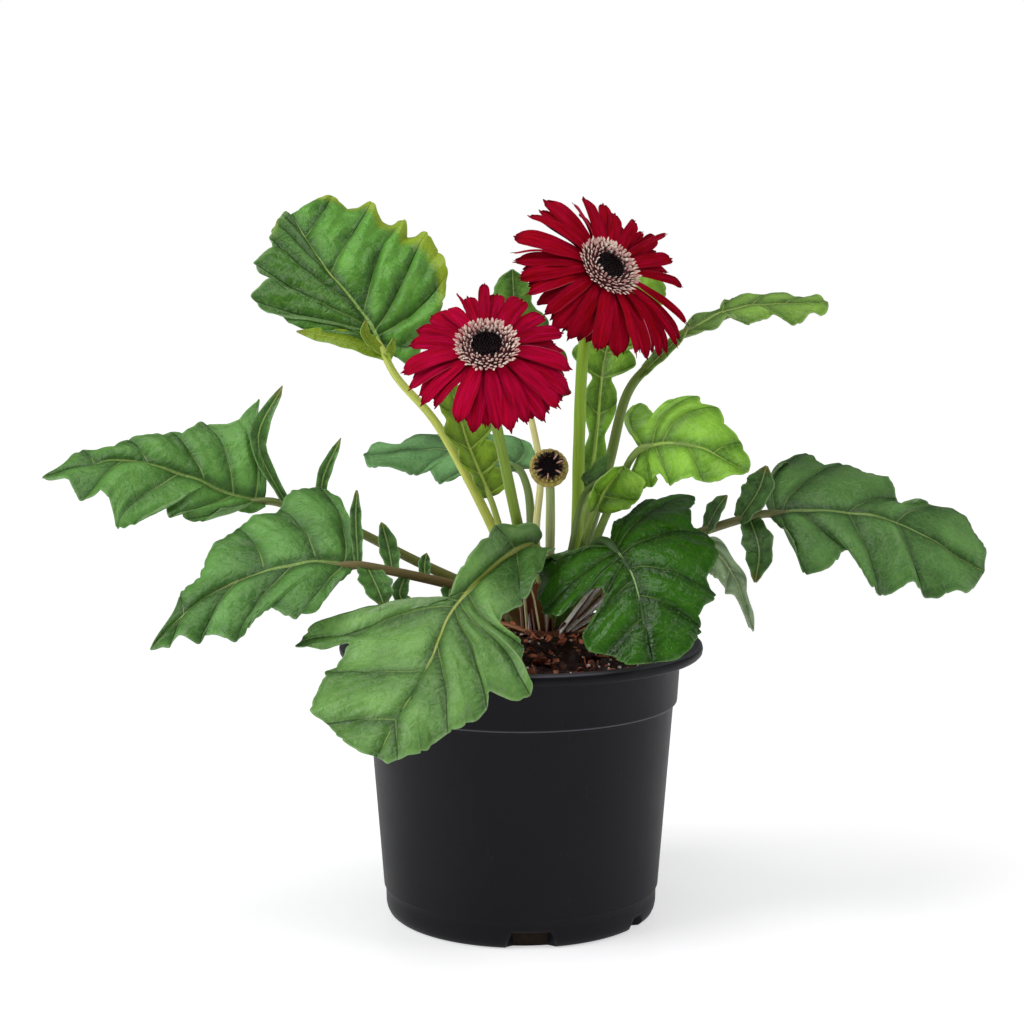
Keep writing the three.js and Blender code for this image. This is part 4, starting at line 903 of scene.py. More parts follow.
def stalk_material(name, foot, neck, hairs=0.10):
    """A leaf or flower stalk: long fibres, a change of colour along it, fine hairs."""
    s = Shader(name, 0.4, Specular_IOR_Level=0.4, Sheen_Weight=0.1, Sheen_Roughness=0.5)
    flat = s.value("flat", "Vector")
    fibres = s.step(s.streaks(flat, (0.05, 1.6, 1.6), 4.0), 0.3, 0.7)
    base = s.mix(s.step(s.value("along"), 0.0, 1.0), foot, neck)
    colour = s.mix(s.times(fibres, 0.75), base, s.mix(0.55, base, shade(neck, 0.5)))
    fuzz = s.times(s.noise(flat, 3.4, 2.0), hairs)
    return s.finish(colour, s.plus(fuzz, s.times(s.streaks(flat, (0.03, 1.2, 1.2), 2.0), 0.35)), 0.7)

# ---------------------------------------------------------------- leaves

BLADE_THICKNESS = 0.45
STEPS_PER_ROW = 12
COLUMNS_PER_HALF = 18


class LeafSurface:
    """The leaf's surface: from flat coordinates (x along the rib, y across, left positive) to space."""

    def __init__(self, leaf):
        self.path = Path(leaf["path"])
        self.base = leaf["base"]
        self.span = leaf["span"]
        self.x = np.linspace(0, self.path.length, 320)
        self.face = self.spread(leaf["face"])
        self.lift = np.radians(self.spread(leaf["lift"]))
        self.curl = np.radians(self.spread(leaf["curl"]))

    def spread(self, rows, half=9):
        """A short table spread along the path, smoothed over half samples to both sides."""
        share, *columns = np.array(rows, float).T
        window = np.hanning(2 * half + 1)
        window /= window.sum()
        values = [np.interp(self.x / self.path.length, share, column) for column in columns]
        return np.stack([np.convolve(np.pad(v, half, "edge"), window, "valid") for v in values], -1)

    def pick(self, values, x):
        return np.stack([np.interp(x, self.x, column) for column in values.T], -1)

    def frame(self, x):
        along = self.path.tangent(x)
        face = self.pick(self.face, x)
        face = unit(face - along * np.sum(face * along, -1, keepdims=True))
        return along, face, np.cross(face, along)

    def at(self, x, y):
        held = np.clip(x, self.base, self.path.length)
        along, face, side = self.frame(held)
        lift = self.pick(self.lift, held)
        curl = self.pick(self.curl, held)
        left = y >= 0
        lift = np.where(left, lift[..., 0], lift[..., 1])
        reach = np.abs(y)
        bend = np.where(left, curl[..., 0], curl[..., 1]) * reach / self.span
        straight = np.abs(bend) < 1e-4
        safe = np.where(straight, 1.0, bend)
        tilt = lift + bend
        out = np.where(straight, reach * np.cos(lift), reach * (np.sin(tilt) - np.sin(lift)) / safe)
        rise = np.where(straight, reach * np.sin(lift), reach * (np.cos(lift) - np.cos(tilt)) / safe)
        sign = np.where(left, 1.0, -1.0)
        point = self.path.at(held) + along * (x - held)[..., None] + side * (sign * out)[..., None]
        normal = face * np.cos(tilt)[..., None] - side * (sign * np.sin(tilt))[..., None]
        return point + face * rise[..., None], normal


def vein_feet(leaf, length, slant):
    """Where the side vein of each margin row leaves the rib."""
    least = 1.4
    last = leaf["base"] - least
    feet = []
    for k, (left_along, left_reach, right_along, right_reach) in enumerate(leaf["rows"]):
        wanted = (left_along + right_along) / 2 - slant * (left_reach + right_reach) / 2
        last = min(max(wanted, last + least), length - least * (len(leaf["rows"]) - k))
        feet.append(last)
    return feet


def lobe_rows(reach):
    """The rows of a margin that end a lobe, and all the rows that a side vein leads to."""
    count = len(reach)
    ends = list(reach) + [0]
    tips = [k for k in range(1, count) if ends[k] > ends[k - 1] and ends[k] >= ends[k + 1]]
    veins = list(tips)
    for low, high in zip([0] + tips, tips + [count]):
        more = (high - low) // 2 - 1
        veins += [low + round((high - low) * (n + 1) / (more + 1)) for n in range(more)]
    return tips, sorted(veins)


def rounded(reach, width):
    """Broader lobes and narrower gaps in a margin."""
    padded = np.pad(reach, width, "edge")
    wide = np.max([padded[k:k + len(reach)] for k in range(2 * width + 1)], axis=0)
    wide[-width:] = reach[-width:]
    padded = np.pad(wide, 2, "edge")
    return sum(w * padded[k:k + len(reach)] for k, w in enumerate((0.1, 0.24, 0.32, 0.24, 0.1)))


def nearest(points, lines):
    """Distance from points to the nearest of several polylines, all flat."""
    best = np.full(len(points), 1e3)
    for line in lines:
        for a, b in zip(line[:-1], line[1:]):
            d = b - a
            t = np.clip(((points - a) @ d) / max(d @ d, 1e-9), 0, 1)
            best = np.minimum(best, np.linalg.norm(points - a - t[:, None] * d, axis=1))
    return best


def half_blade(leaf, look, seed, sign, roots, length):
    """One half of a blade as columns from rib to margin: flat place, height and values for the material."""
    a, b = (0, 1) if sign > 0 else (2, 3)
    rows = leaf["rows"]
    count = len(rows)
    r = np.linspace(0, count, count * STEPS_PER_ROW + 1)
    # the margin: smooth through its rows, with small teeth and a point at the end of each lobe
    corners = np.array([[row[a], row[b]] for row in rows] + [[length, 0.5]], float)
    edge = catmull_at(np.vstack([corners[0], corners, corners[-1]]), r, 0.42)
    edge[:, 1] = rounded(edge[:, 1], 3)
    tips, ribbed = lobe_rows([row[b] for row in rows])
    margin_run = np.concatenate([[0], np.cumsum(np.linalg.norm(np.diff(edge, axis=0), axis=1))])
    turn = margin_run / look["teeth"] + 0.3 * ripple(seed, 15, margin_run)
    teeth = np.abs(np.sin(math.pi * turn)) ** 0.6 - 0.75
    points = np.max(np.exp(-((r[:, None] - np.array(tips)) / 0.24) ** 2), axis=1)
    edge[:, 1] += smoothstep(4, 14, edge[:, 1]) * (look["tooth"] * teeth + look["point"] * points)
    # the grid between rib and margin, its rows bowed as the side veins are
    s = np.linspace(0, 1, COLUMNS_PER_HALF + 1) ** 0.9
    reach = edge[:, 1:]
    feet = np.interp(r, range(count + 1), roots)[:, None]
    x = feet + (edge[:, :1] - feet) * s - look["bow"] * reach * s * (1 - s)
    y = reach * s
    # swellings between the side veins
    gap = np.interp(r, range(count + 1), np.gradient(roots))[:, None]
    width = np.minimum(1.0, (gap + reach * s * 0.4) / 13)
    bounds = np.array([0] + ribbed + [count])
    field = np.clip(np.searchsorted(bounds, r, "right") - 1, 0, len(bounds) - 2)
    across = np.clip((r - bounds[field]) / (bounds[field + 1] - bounds[field]), 0, 1)[:, None]
    skew = look["skew"]
    swell = np.sin(math.pi * across ** (1 + skew)) ** 0.9
    # painted light and shade: light on the crown of each swelling and, by skew, towards the next side vein,
    # dark in the hollows
    tone = (swell * (1 - skew) + skew * across ** 0.8) * smoothstep(0, 7, y)
    wave_height, wave_length = look["wave"]
    pucker = look["pucker"]
    if sign > 0:
        pucker = look.get("pucker_left", pucker)
        wave_height = look.get("wave_left", wave_height)
    height = 1.5 * pucker * width * swell * s ** 0.5 * (1 - s) ** 0.6
    # waves of the margin, a furrow over the rib, slow swings and fine folds
    phase = 1.3 * seed + (0 if sign > 0 else 2)
    wave = np.sin(margin_run / wave_length * FULL_TURN + phase)
    wave = (wave + 0.5 * np.sin(margin_run / wave_length * 5.1 + phase))[:, None]
    height = height + wave_height * wave * s ** 3 * smoothstep(0, 12, reach)
    height = height - np.exp(-y / 4.5) * smoothstep(0, 6, reach)
    height = height + 0.35 * ripple(seed, 14, x, y * sign) * smoothstep(0, 8, reach)
    folds = ripple(seed + 50, 6, x - 0.7 * y, 0.35 * y) * smoothstep(2, 14, y)
    height = height + look["wrinkle"] * folds
    veins = [np.stack([x[k * STEPS_PER_ROW], y[k * STEPS_PER_ROW]], -1) for k in ribbed]
    from_vein = nearest(np.stack([x.ravel(), y.ravel()], -1), veins).reshape(x.shape)
    warm = np.zeros(x.shape)
    for half, first, last, inner in look["fringe"]:
        if half == sign:
            inside = smoothstep(first - 1, first + 1, r) * smoothstep(last + 1, last - 1, r)
            start = (inner + 0.05 * ripple(seed, 9, r))[:, None]
            warm = np.maximum(warm, inside[:, None] * smoothstep(0, 0.12, s - start))
    return x, y * sign, height, from_vein, np.broadcast_to(s, x.shape), (1 - s) * reach, warm, tone


def add_blade(piece, leaf, look, seed, surface):
    length = surface.path.length
    roots = vein_feet(leaf, length, look["slant"]) + [length]
    halves = [half_blade(leaf, look, seed, sign, roots, length) for sign in (1, -1)]
    columns = [np.concatenate([left[:, ::-1], right[:, 1:]], 1) for left, right in zip(*halves)]
    x, y, height, vein, run, edge, warm, tone = columns
    point, normal = surface.at(x, y)
    share = np.clip((x - surface.base) / (length - surface.base), 0, 1)
    rib_width = (0.3 + leaf["stalk"][1] * 0.5 * (1 - share) ** 1.3) * look["thin"]
    rib_end, left_end = look["rib_end"], look["left_end"]
    rib = np.abs(y) / rib_width + 3 * smoothstep(rib_end - 0.12, rib_end + 0.12, share)
    left = smoothstep(-3, 3, y) * smoothstep(left_end + 0.05, left_end - 0.05, share)
    # swell carries the painted light and shade of the swellings
    piece.add_sheet(point + normal * height[..., None], normal, BLADE_THICKNESS, 0, (x, y, seed * 37.0),
                    vein=vein, run=run, edge=edge, rib=rib, left=left, warm=warm, swell=tone)


def add_stalk(piece, leaf, surface):
    """The leaf stalk, which goes on under the blade as a tapering rib."""
    foot, neck = leaf["stalk"]
    length = surface.path.length
    base = surface.base
    x = np.linspace(0, length * 0.985, int(length / 2.5))
    _, face, _ = surface.frame(x)
    beyond = np.clip((x - base) / (length - base), 0, 1)
    radius = np.where(x < base, foot + (neck - foot) * x / base, neck * (1 - beyond) ** 0.8 + 0.25)
    sink = smoothstep(-4, 9, x - base) * (radius + 1.1)
    sides = 14
    points, faces = tube(surface.path.at(x) - face * sink[:, None], radius, sides, face[0])
    piece.add(points, faces, 1, flat=along_tube(x, radius * 2, sides), along=np.repeat(x, sides) / length)


def add_lobe(piece, surface, lobe, seed, lime):
    """A free lobe on the leaf stalk: a small pointed leaflet."""
    start, middle, end, half = lobe
    rib = Path([surface.path.at(start), middle, end])
    stalk_along, face, _ = surface.frame(np.array([start]))
    t = np.linspace(0, 1, 15)
    s = np.linspace(-1, 1, 9)
    along = rib.tangent(t * rib.length)
    across = np.cross(face[0], along)
    across[np.linalg.norm(across, axis=1) < 0.32] = stalk_along[0]
    across = unit(across - along * np.sum(across * along, -1, keepdims=True))
    up = np.cross(along, across)[:, None]
    outline = np.interp(t, [0, 0.2, 0.45, 0.75, 0.92, 1], [0.5, 0.8, 1, 0.78, 0.36, 0.05])
    outline = (outline * (1 + 0.09 * np.sin(t * 21 + seed)))[:, None]
    y = half * outline * s
    cup = 0.16 * half * outline * (s ** 2) + 0.25 * np.sin(t * 9 + seed)[:, None] * np.abs(s)
    top = rib.at(t * rib.length)[:, None] + across[:, None] * y[..., None] + up * cup[..., None]
    x = (t * rib.length)[:, None]
    # side veins 7 mm apart that lean towards the tip
    from_vein = np.abs(((x - np.abs(y) * 0.9) % 7.0) - 3.5) + 0.9
    # swell paints light and shade across the lobe, as on the blade
    piece.add_sheet(top, up, BLADE_THICKNESS, 0, (x, y, seed * 5.0), vein=from_vein, run=np.abs(s),
                    edge=half * outline * (1 - np.abs(s)), rib=np.abs(y) / 0.42, warm=lime,
                    tip=smoothstep(0.8, 1, t[:, None]) * 0.5,
                    swell=smoothstep(0, 1, np.abs(s)) * (0.5 + 0.5 * np.sin(x * 0.9)))


for seed, leaf in enumerate(LEAVES, 1):
    look = dict(COMMON_LOOK, **LOOKS[leaf["name"]])
    name = leaf["name"].replace("leaf", "blade")
    surface = LeafSurface(leaf)
    piece = Piece(name)
    add_blade(piece, leaf, look, seed, surface)
    add_stalk(piece, leaf, surface)
    for k, lobe in enumerate(leaf["lobes"]):
        add_lobe(piece, surface, lobe, seed * 10 + k, look["lime"])
    green = leaf_material(name + "_green", look)
    stalk = stalk_material(name + "_stalk", look["foot"], look["neck"])
    dress(piece.build([green, stalk]), look["slot"], leaf["name"])

# ---------------------------------------------------------------- flower heads and bud


def head_frame(head):
    """Turns head coordinates (face along +z) into the part's frame."""
    facing = Vector(head["facing"]).normalized()
    turn = np.array(Vector((0, 0, 1)).rotation_difference(facing).to_matrix())
    centre = np.array(head["centre"], float)
    return lambda p: np.asarray(p, float) @ turn.T + centre


def polar(angle, radius, height=0.0):
    return np.array([radius * math.cos(angle), radius * math.sin(angle), height])


def spread_round(rng, count, jitter):
    """Angles round a ring, each moved by up to a share of the space between two."""
    for k in range(count):
        yield FULL_TURN * (k + rng.uniform(-jitter, jitter)) / count


def add_tongue(piece, place, foot, lean, length, width, curl, tone, kind=0, squash=0.45):
    """A small curved tongue or spike. lean = direction at its foot, curl bends it outwards along it."""
    t = np.linspace(0, 1, 6)
    lean = unit(np.asarray(lean, float))
    out = unit(foot * [1, 1, 0] + 1e-6)
    line = foot + lean * (t * length)[:, None] + out * (curl * t ** 2)[:, None]
    radii = width * np.interp(t, [0, 0.35, 0.8, 1], [0.7, 1.0, 0.75, 0.15])
    up = np.cross(lean, np.cross([0, 0, 1.0], out)) + 1e-4
    sides = 6
    points, faces = tube(line, radii, sides, up, squash)
    piece.add(place(points), faces, kind, along=np.repeat(t, sides), tone=tone)


def add_disc(piece, place, profile, kind=0, **values):
    """A turned form round the head's axis: profile = [radius, height], from rim to middle."""
    sides = 40
    last = (len(profile) - 1) * sides
    faces = grid_faces(len(profile), sides, closed=True)
    faces += [list(range(sides))[::-1], list(range(last, last + sides))]
    piece.add(place(np.concatenate([ring(sides, r, z) for r, z in profile])), faces, kind, **values)


def petal_material(name, tones):
    """Velvety petal: fine long ribs, a painted pinker sheen in long streaks, darker towards tip and foot,
    painted shade towards the sides, a painted highlight along one rim of some, and paler underneath.
    """
    s = Shader(name, 0.65, Specular_IOR_Level=0.03)
    flat = s.value("flat", "Vector")
    along = s.value("along")
    side = s.value("side")
    ribs = s.streaks(flat, (0.08, 2.6, 1.0), 3.0)
    # painted pinker sheen in long streaks
    painted_sheen = s.step(s.streaks(flat, (0.09, 0.5, 1.0), 2.0), 0.35, 0.7)
    body = s.mix(s.value("tone"), *tones)
    body = s.mix(s.times(painted_sheen, 0.5), body, shade(tones[1], 1, (18, 4, 34)))
    body = s.mix(s.times(s.step(ribs, 0.42, 0.6), 0.5), body, (tones[0][0] * 0.7, 0, tones[0][2] * 0.7))
    body = s.mix(s.times(s.step(along, 0.86, 1.0), 0.75), body, (74, 2, 18))
    body = s.mix(s.times(s.fall(along, 0.0, 0.3), 0.45), body, (110, 0, 14))
    # painted shade towards the petal's sides
    body = s.mix(s.times(s.step(side, 0.72, 0.95), 0.35), body, (100, 2, 24))
    # painted highlight along one rim of some petals
    body = s.mix(s.times(s.step(side, 0.9, 1.0), s.value("rim")), body, (236, 150, 168))
    body = s.mix(s.times(s.value("under"), 0.6), body, (176, 54, 78))
    return s.finish(body, s.plus(s.times(ribs, 0.30), s.times(s.noise(flat, 2.0, 2.0), 0.05)), 0.8)


def floret_material(name, light, dark, deep, roughness=0.55):
    """Florets between light and dark, deep in colour at their feet."""
    s = Shader(name, roughness, Specular_IOR_Level=0.25)
    body = s.mix(s.value("tone"), light, dark)
    body = s.mix(s.fall(s.value("along"), 0.0, 0.55, 0.85), body, deep)
    speck = s.step(s.noise(s.place(), 1800.0, 2.0), 0.55, 0.7)
    body = s.mix(s.times(speck, 0.3), body, deep)
    return s.finish(body, s.times(s.noise(s.place(), 2500.0, 2.0), 0.12))


def bract_material(name, base, light, tip):
    s = Shader(name, 0.5, Specular_IOR_Level=0.35, Sheen_Weight=0.2)
    grain = s.streaks(s.value("flat", "Vector"), (0.3, 3.0, 1.0), 3.0)
    share = s.plus(s.times(s.value("tone"), 0.6), s.times(s.step(grain, 0.35, 0.65), 0.4))
    body = s.mix(share, base, light)
    body = s.mix(s.times(s.step(s.value("along"), 0.72, 1.0), 0.85), body, tip)
    return s.finish(body, s.times(grain, 0.25), 0.8)


def add_petal(piece, head, place, spec, rng, level):
    """A ray petal: pleated, cupped and rolled, with a cleft tip. level = height of its foot."""
    angle, reach, half, rise, roll, sweep = spec
    root = head["eye"] + 1
    a = math.radians(angle)
    reach = reach * (1 + head["wider"] * abs(math.cos(a)) + head["longer"])
    mean, right, above = head["droop"]
    droop = mean + right * math.cos(a) + above * math.sin(a)
    t = np.linspace(0, 1, 19)[:, None]
    s = np.linspace(-1, 1, 11)
    # along = how far out a point lies, less at the cleft and the corners of the tip
    cleft, taper = rng.uniform(0.006, 0.03), rng.uniform(0.03, 0.075)
    teeth = cleft * (1 - np.cos(s * FULL_TURN + rng.uniform(-0.9, 0.9))) + taper * np.abs(s) ** 2
    along = t * (1 - teeth * t ** 2)
    half = half * head["breadth"]
    outline = np.interp(t, [0, 0.12, 0.3, 0.55, 0.8, 0.91, 0.97, 1],
                        [0.36, 0.54, 0.8, 0.97, 0.98, 0.86, 0.64, 0.34])
    outline = outline + 0.03 * np.sin(t * 9 + rng.uniform(0, 6))
    y = half * outline * s
    r = root + (reach - root) * along
    stretch = (r - root) / (head["reach"] - root)
    z = level - droop * np.clip(stretch, 0, 1.4) ** 2.2 + rise * along ** 2
    z = z + 0.8 * np.sin(math.pi * along) * rng.uniform(0.2, 1.2)
    z = z - rng.uniform(0.2, 2.2) * smoothstep(0.8, 1.0, along)
    pleat = 0.32 * np.cos(s * FULL_TURN) * np.minimum(1, half / 3)
    cup = rng.uniform(-0.32, 0.12) * s ** 2 * half * 0.5
    lift = (pleat + cup) * smoothstep(0.05, 0.4, t)
    lift = lift + 0.25 * ripple(int(rng.integers(1e6)), 16, r, y)
    turn = math.radians(roll) * smoothstep(0.0, 0.75, t)
    across = y * np.cos(turn) - lift * np.sin(turn) + sweep * (along ** 2 - along * 0.3)
    z = z + y * np.sin(turn) + lift * np.cos(turn)
    points = [r * math.cos(a) - across * math.sin(a), r * math.sin(a) + across * math.cos(a), z]
    up = place([0, 0, 1.0]) - place([0, 0, 0.0])
    seed = rng.uniform(0, 500)
    tone = rng.uniform(0, 1)
    # strength of a painted highlight along the petal's rim
    rim_highlight = max(0, rng.uniform(-2.4, 0.9)) * (0.4 if half < 3 else 1)
    piece.add_sheet(place(np.stack(points, -1)), up, 0.32 * (1 - 0.4 * np.abs(s)), 0, (r + seed, y, seed),
                    along=along, side=np.abs(s), tone=tone, rim=np.where(s > 0, 1, 0) * rim_highlight)


def petals_piece(head):
    """The listed rays in two layers, shorter ones below their gaps, and the ring that they grow from."""
    rng = np.random.default_rng(head["seed"])
    place = head_frame(head)
    piece = Piece(head["name"] + "_petals")
    for k, spec in enumerate(head["petals"]):
        add_petal(piece, head, place, spec, rng, -1.5 - 1.1 * (k % 2))
    specs = sorted(head["petals"])
    for a, b in zip(specs, specs[1:]):
        if 6 < b[0] - a[0] < 19 and max(a[2], b[2]) > 2.2:
            reach = min(a[1], b[1]) * rng.uniform(0.9, 0.98)
            low = [(a[0] + b[0]) / 2, reach, min(a[2], b[2], 3.4), -0.6, rng.uniform(-8, 8), 0]
            add_petal(piece, head, place, low, rng, -3.5)
    inner, outer = head["eye"] + 0.2, head["eye"] + 3
    sides = 24
    rings = [ring(sides, r, z) for r, z in [(inner, -1.2), (inner, -4.8), (outer, -4.6), (outer, -1.4)]]
    faces = grid_faces(4, sides, turned=True, closed=True)
    faces += [[3 * sides + j, 3 * sides + (j + 1) % sides, (j + 1) % sides, j] for j in range(sides)]
    piece.add(place(np.concatenate(rings)), faces, 0, side=0.5)
    return piece.build([petal_material(head["name"] + "_velvet", head["tone"])], 60)


def floret_ring_piece(head):
    """The pale ring: several whorls of small tongues over a dark crimson bed."""
    rng = np.random.default_rng(head["seed"] + 20)
    place = head_frame(head)
    piece = Piece(head["name"] + "_ring")
    inner = head["eye"] + 0.3
    depth = head["ring"] - inner
    rim = head["ring"] - 2.2
    bed = [[rim, -0.8], [rim, 0.2], [inner + depth * 0.4, 1.1], [inner, 1.2], [inner, -0.8]]
    add_disc(piece, place, bed, 1, along=0.2, tone=0.5)
    for share, count, length, width, curl, lift in WHORLS:
        for a in spread_round(rng, count, 0.32):
            foot = polar(a, inner + depth * share * 0.86 + rng.uniform(-0.35, 0.35), 0.3 + lift * 0.25)
            lean = polar(a, 0.1 + 0.85 * share, 1.0)
            lean[:2] += rng.uniform(-0.45, 0.45, 2)
            add_tongue(piece, place, foot, lean, length * rng.uniform(0.75, 1.15),
                       width * rng.uniform(0.8, 1.15), curl * 0.6, rng.uniform(0, 1))
    pale = floret_material(head["name"] + "_pale", (250, 234, 218), (206, 150, 146), (120, 44, 50))
    crimson = floret_material(head["name"] + "_bed", (70, 8, 20), (96, 16, 30), (40, 4, 12))
    return piece.build([pale, crimson], 70)


def eye_piece(head, rise, spikes):
    """The dark middle: packed buds in a low bowl, with pointed ones round its rim."""
    rng = np.random.default_rng(head["seed"] + 40)
    place = head_frame(head)
    piece = Piece(head["name"] + "_middle")
    radius = head["eye"]
    bed = [[radius - 0.1, -0.5], [radius - 0.1, 0.5], [radius * 0.7, rise * 0.45],
           [radius * 0.35, rise * 0.3], [0.4, rise * 0.25]]
    add_disc(piece, place, bed, 0, along=0.0, tone=0.2)
    buds = 78
    for k in range(buds):
        share = math.sqrt((k + 0.5) / buds)
        a = k * GOLDEN_ANGLE
        add_tongue(piece, place, polar(a, radius * 0.93 * share, rise * 0.25 + 0.12 * share),
                   polar(a, -0.15, 1.0), rise * (0.3 + 0.5 * share) * rng.uniform(0.8, 1.2),
                   0.36 + 0.1 * rng.uniform(), 0.0, rng.uniform(0, 1), 0, 0.9)
    for a in spread_round(rng, spikes, 0.3):
        add_tongue(piece, place, polar(a, radius - 0.9, rise * 0.5), polar(a, 1, 0.8),
                   rng.uniform(1.6, 2.4), 0.5, 0.2, 0.1, 0, 0.6)
    dark = floret_material(head["name"] + "_dark", (14, 1, 5), (34, 4, 14), (5, 0, 2), 0.6)
    return piece.build([dark], 70)


def add_bract(piece, place, angle, cup, low, high, half, bulge, lean, rng):
    """A pointed scale that follows the cup from one height to another."""
    heights, radii = np.array(cup, float).T
    t = np.linspace(0, 1, 8)[:, None]
    s = np.linspace(-1, 1, 5)
    z = low + (high - low) * t
    r = np.interp(z, heights, radii) + bulge * (0.4 + 0.6 * np.sin(math.pi * t * 0.8)) + lean * t ** 3
    wide = half * np.interp(t, [0, 0.3, 0.6, 0.85, 1], [0.8, 1, 0.8, 0.42, 0.08]) * s
    turn = angle + wide / np.maximum(r, 2)
    bowed = r - 0.18 * np.abs(s)
    top = place(np.stack([bowed * np.cos(turn), bowed * np.sin(turn), np.broadcast_to(z, turn.shape)], -1))
    seed = rng.uniform(0, 100)
    piece.add_sheet(top, top - place([0, 0, 0.0]), 0.35, 1, (t * 8 + seed, wide, seed), along=t,
                    tone=rng.uniform(0, 1))


def stem_piece(head, cup, bracts, materials, name):
    """A flower stalk with the cup of bracts under its head."""
    rng = np.random.default_rng(head["seed"] + 60)
    place = head_frame(head)
    piece = Piece(name)
    path = Path(head["path"] + [place([0, 0, cup[0][0] + 1.0])])
    x = np.linspace(0, path.length, 60)
    radius = head["stalk"] * (1 - 0.12 * x / path.length) * (1 + 0.02 * np.sin(x * 0.25))
    sides = 16
    points, faces = tube(path.at(x), radius, sides, (0, 1, 0.0))
    piece.add(points, faces, 0, flat=along_tube(x, 5, sides), along=np.repeat(x, sides) / path.length)
    profile = [[1.2, cup[0][0] - 0.4]] + [[r - 0.5, z] for z, r in cup] + [[1.0, cup[-1][0]]]
    add_disc(piece, place, profile, 1, along=0.2, tone=0.5)
    for low, high, count, half, bulge, lean in bracts:
        for a in spread_round(rng, count, 0.15):
            tip = high + rng.uniform(-0.5, 0.3)
            add_bract(piece, place, a + low, cup, low, tip, half, bulge, lean, rng)
    return piece.build(materials, 60)


for head in FLOWERS:
    name = head["name"]
    materials = [
        stalk_material(name + "_stalk", *head["green"], 0.14),
        bract_material(name + "_cup", (88, 112, 54), (128, 150, 84), (110, 84, 60)),
    ]
    stem = stem_piece(head, HEAD_CUP, HEAD_BRACTS, materials, name + "_stem")
    dress(stem, "flower_stalk", name + "_scape")
    dress(petals_piece(head), head["slot"], name + "_rays")
    dress(floret_ring_piece(head), "floret_pale", name + "_florets")
    dress(eye_piece(head, 3.2, 16), "floret_dark", name + "_eye")


def bud_ring_piece(rng, place):
    piece = Piece("bud_ring")
    inner, outer = BUD["eye"] + 0.2, BUD["ring"] - 0.7
    profile = [[outer, -1.6], [outer, -0.9], [inner, -0.5], [inner, -1.6]]
    add_disc(piece, place, profile, 0, along=0.3, tone=0.2)
    for a in spread_round(rng, 30, 0.3):
        foot = polar(a, inner + rng.uniform(0.2, 2.4), -1.2)
        length = rng.uniform(1.6, 2.5)
        add_tongue(piece, place, foot, polar(a, -0.7, 1.0), length, 0.55, 0.0, rng.uniform(0, 1))
    tongues = floret_material("bud_tongues", (170, 136, 74), (196, 150, 110), (92, 60, 30))
    return piece.build([tongues], 70)


def bud_eye_piece(rng, place):
    """The bud's dark middle: packed buds, pointed ones round them and a few pink ones."""
    piece = Piece("bud_middle")
    radius = BUD["eye"]
    profile = [[radius, -1.5], [radius, -0.6], [radius * 0.6, -0.2], [0.4, -0.3]]
    add_disc(piece, place, profile, 0, along=0.0, tone=0.1)
    buds = 54
    for k in range(buds):
        share = math.sqrt((k + 0.5) / buds)
        a = k * GOLDEN_ANGLE
        add_tongue(piece, place, polar(a, radius * share, -0.5), polar(a, 0.5 * share, 1.0),
                   1.2 + 0.7 * share, 0.42, 0.0, rng.uniform(0, 1), 0, 0.9)
    for a in spread_round(rng, 15, 0.2):
        add_tongue(piece, place, polar(a, radius - 0.5), polar(a, 1, 0.45), rng.uniform(2.0, 3.2), 0.75, 0.0,
                   0.05, 0, 0.5)
    for a in (0.35, 0.95, 5.7, 4.6, 3.6):
        add_tongue(piece, place, polar(a, radius - 1.2, 0.7), polar(a, 1, 0.35), 3.2, 0.42, 0.0, 1.0, 1, 0.5)
    dark = floret_material("bud_dark", (14, 1, 6), (34, 5, 16), (5, 0, 2), 0.6)
    pink = floret_material("bud_pink", (206, 150, 130), (214, 170, 150), (150, 90, 80))
    return piece.build([dark, pink], 70)


bud_rng = np.random.default_rng(9)
bud_place = head_frame(BUD)
bud_materials = [
    stalk_material("bud_stalk", (220, 224, 150), (184, 200, 130), 0.18),
    bract_material("bud_bracts", (150, 132, 50), (228, 212, 116), (40, 26, 14)),
]
dress(stem_piece(BUD, BUD_CUP, BUD_BRACTS, bud_materials, "bud_stem"), "bud_bract", "bud_scape")
dress(bud_ring_piece(bud_rng, bud_place), "dried_stalk", "bud_florets")
dress(bud_eye_piece(bud_rng, bud_place), "floret_dark", "bud_eye")

# ---------------------------------------------------------------- pot


def pot_material():
    """Black plastic, paler where scuffed, with painted highlight lines at the collar's lower edge and the
    rim's top.
    """
    s = Shader("black_pot_plastic", 0.5, Specular_IOR_Level=0.12)
    place = s.place()
    cloud = s.step(s.noise(place, 22.0, 4.0), 0.35, 0.7)
    scratches = s.noise(s.vectors("MULTIPLY", place, (1.0, 1.0, 0.35)), 160.0, 5.0, 0.7)
    scuff = s.step(scratches, 0.62, 0.78)
    body = s.mix(cloud, (15, 15, 19), (21, 21, 26))
    body = s.mix(s.times(scuff, 0.18), body, (74, 74, 82))
    height = s.node("ShaderNodeSeparateXYZ", Vector=place).outputs["Z"]
    # painted highlight lines at the collar's lower edge and the rim's top
    collar_edge, rim_edge = 98.45, 124.6
    for level in (collar_edge, rim_edge):
        away = s.math("ABSOLUTE", s.math("SUBTRACT", height, level * MM))
        body = s.mix(s.times(s.fall(away, 0.2 * MM, 0.6 * MM), 0.5), body, (96, 96, 104))
    bands = s.node("ShaderNodeTexWave", {"wave_type": "BANDS", "bands_direction": "Z"}, Vector=place,
                   Scale=260.0, Distortion=1.2, Detail=2.0).outputs["Fac"]
    bump = s.plus(s.times(bands, 0.010), s.times(s.noise(place, 2600.0, 2.0), 0.035))
    roughness = s.plus(s.times(cloud, 0.08), s.math("MULTIPLY_ADD", scuff, 0.1, 0.46))
    return s.finish(body, bump, 0.8, roughness)


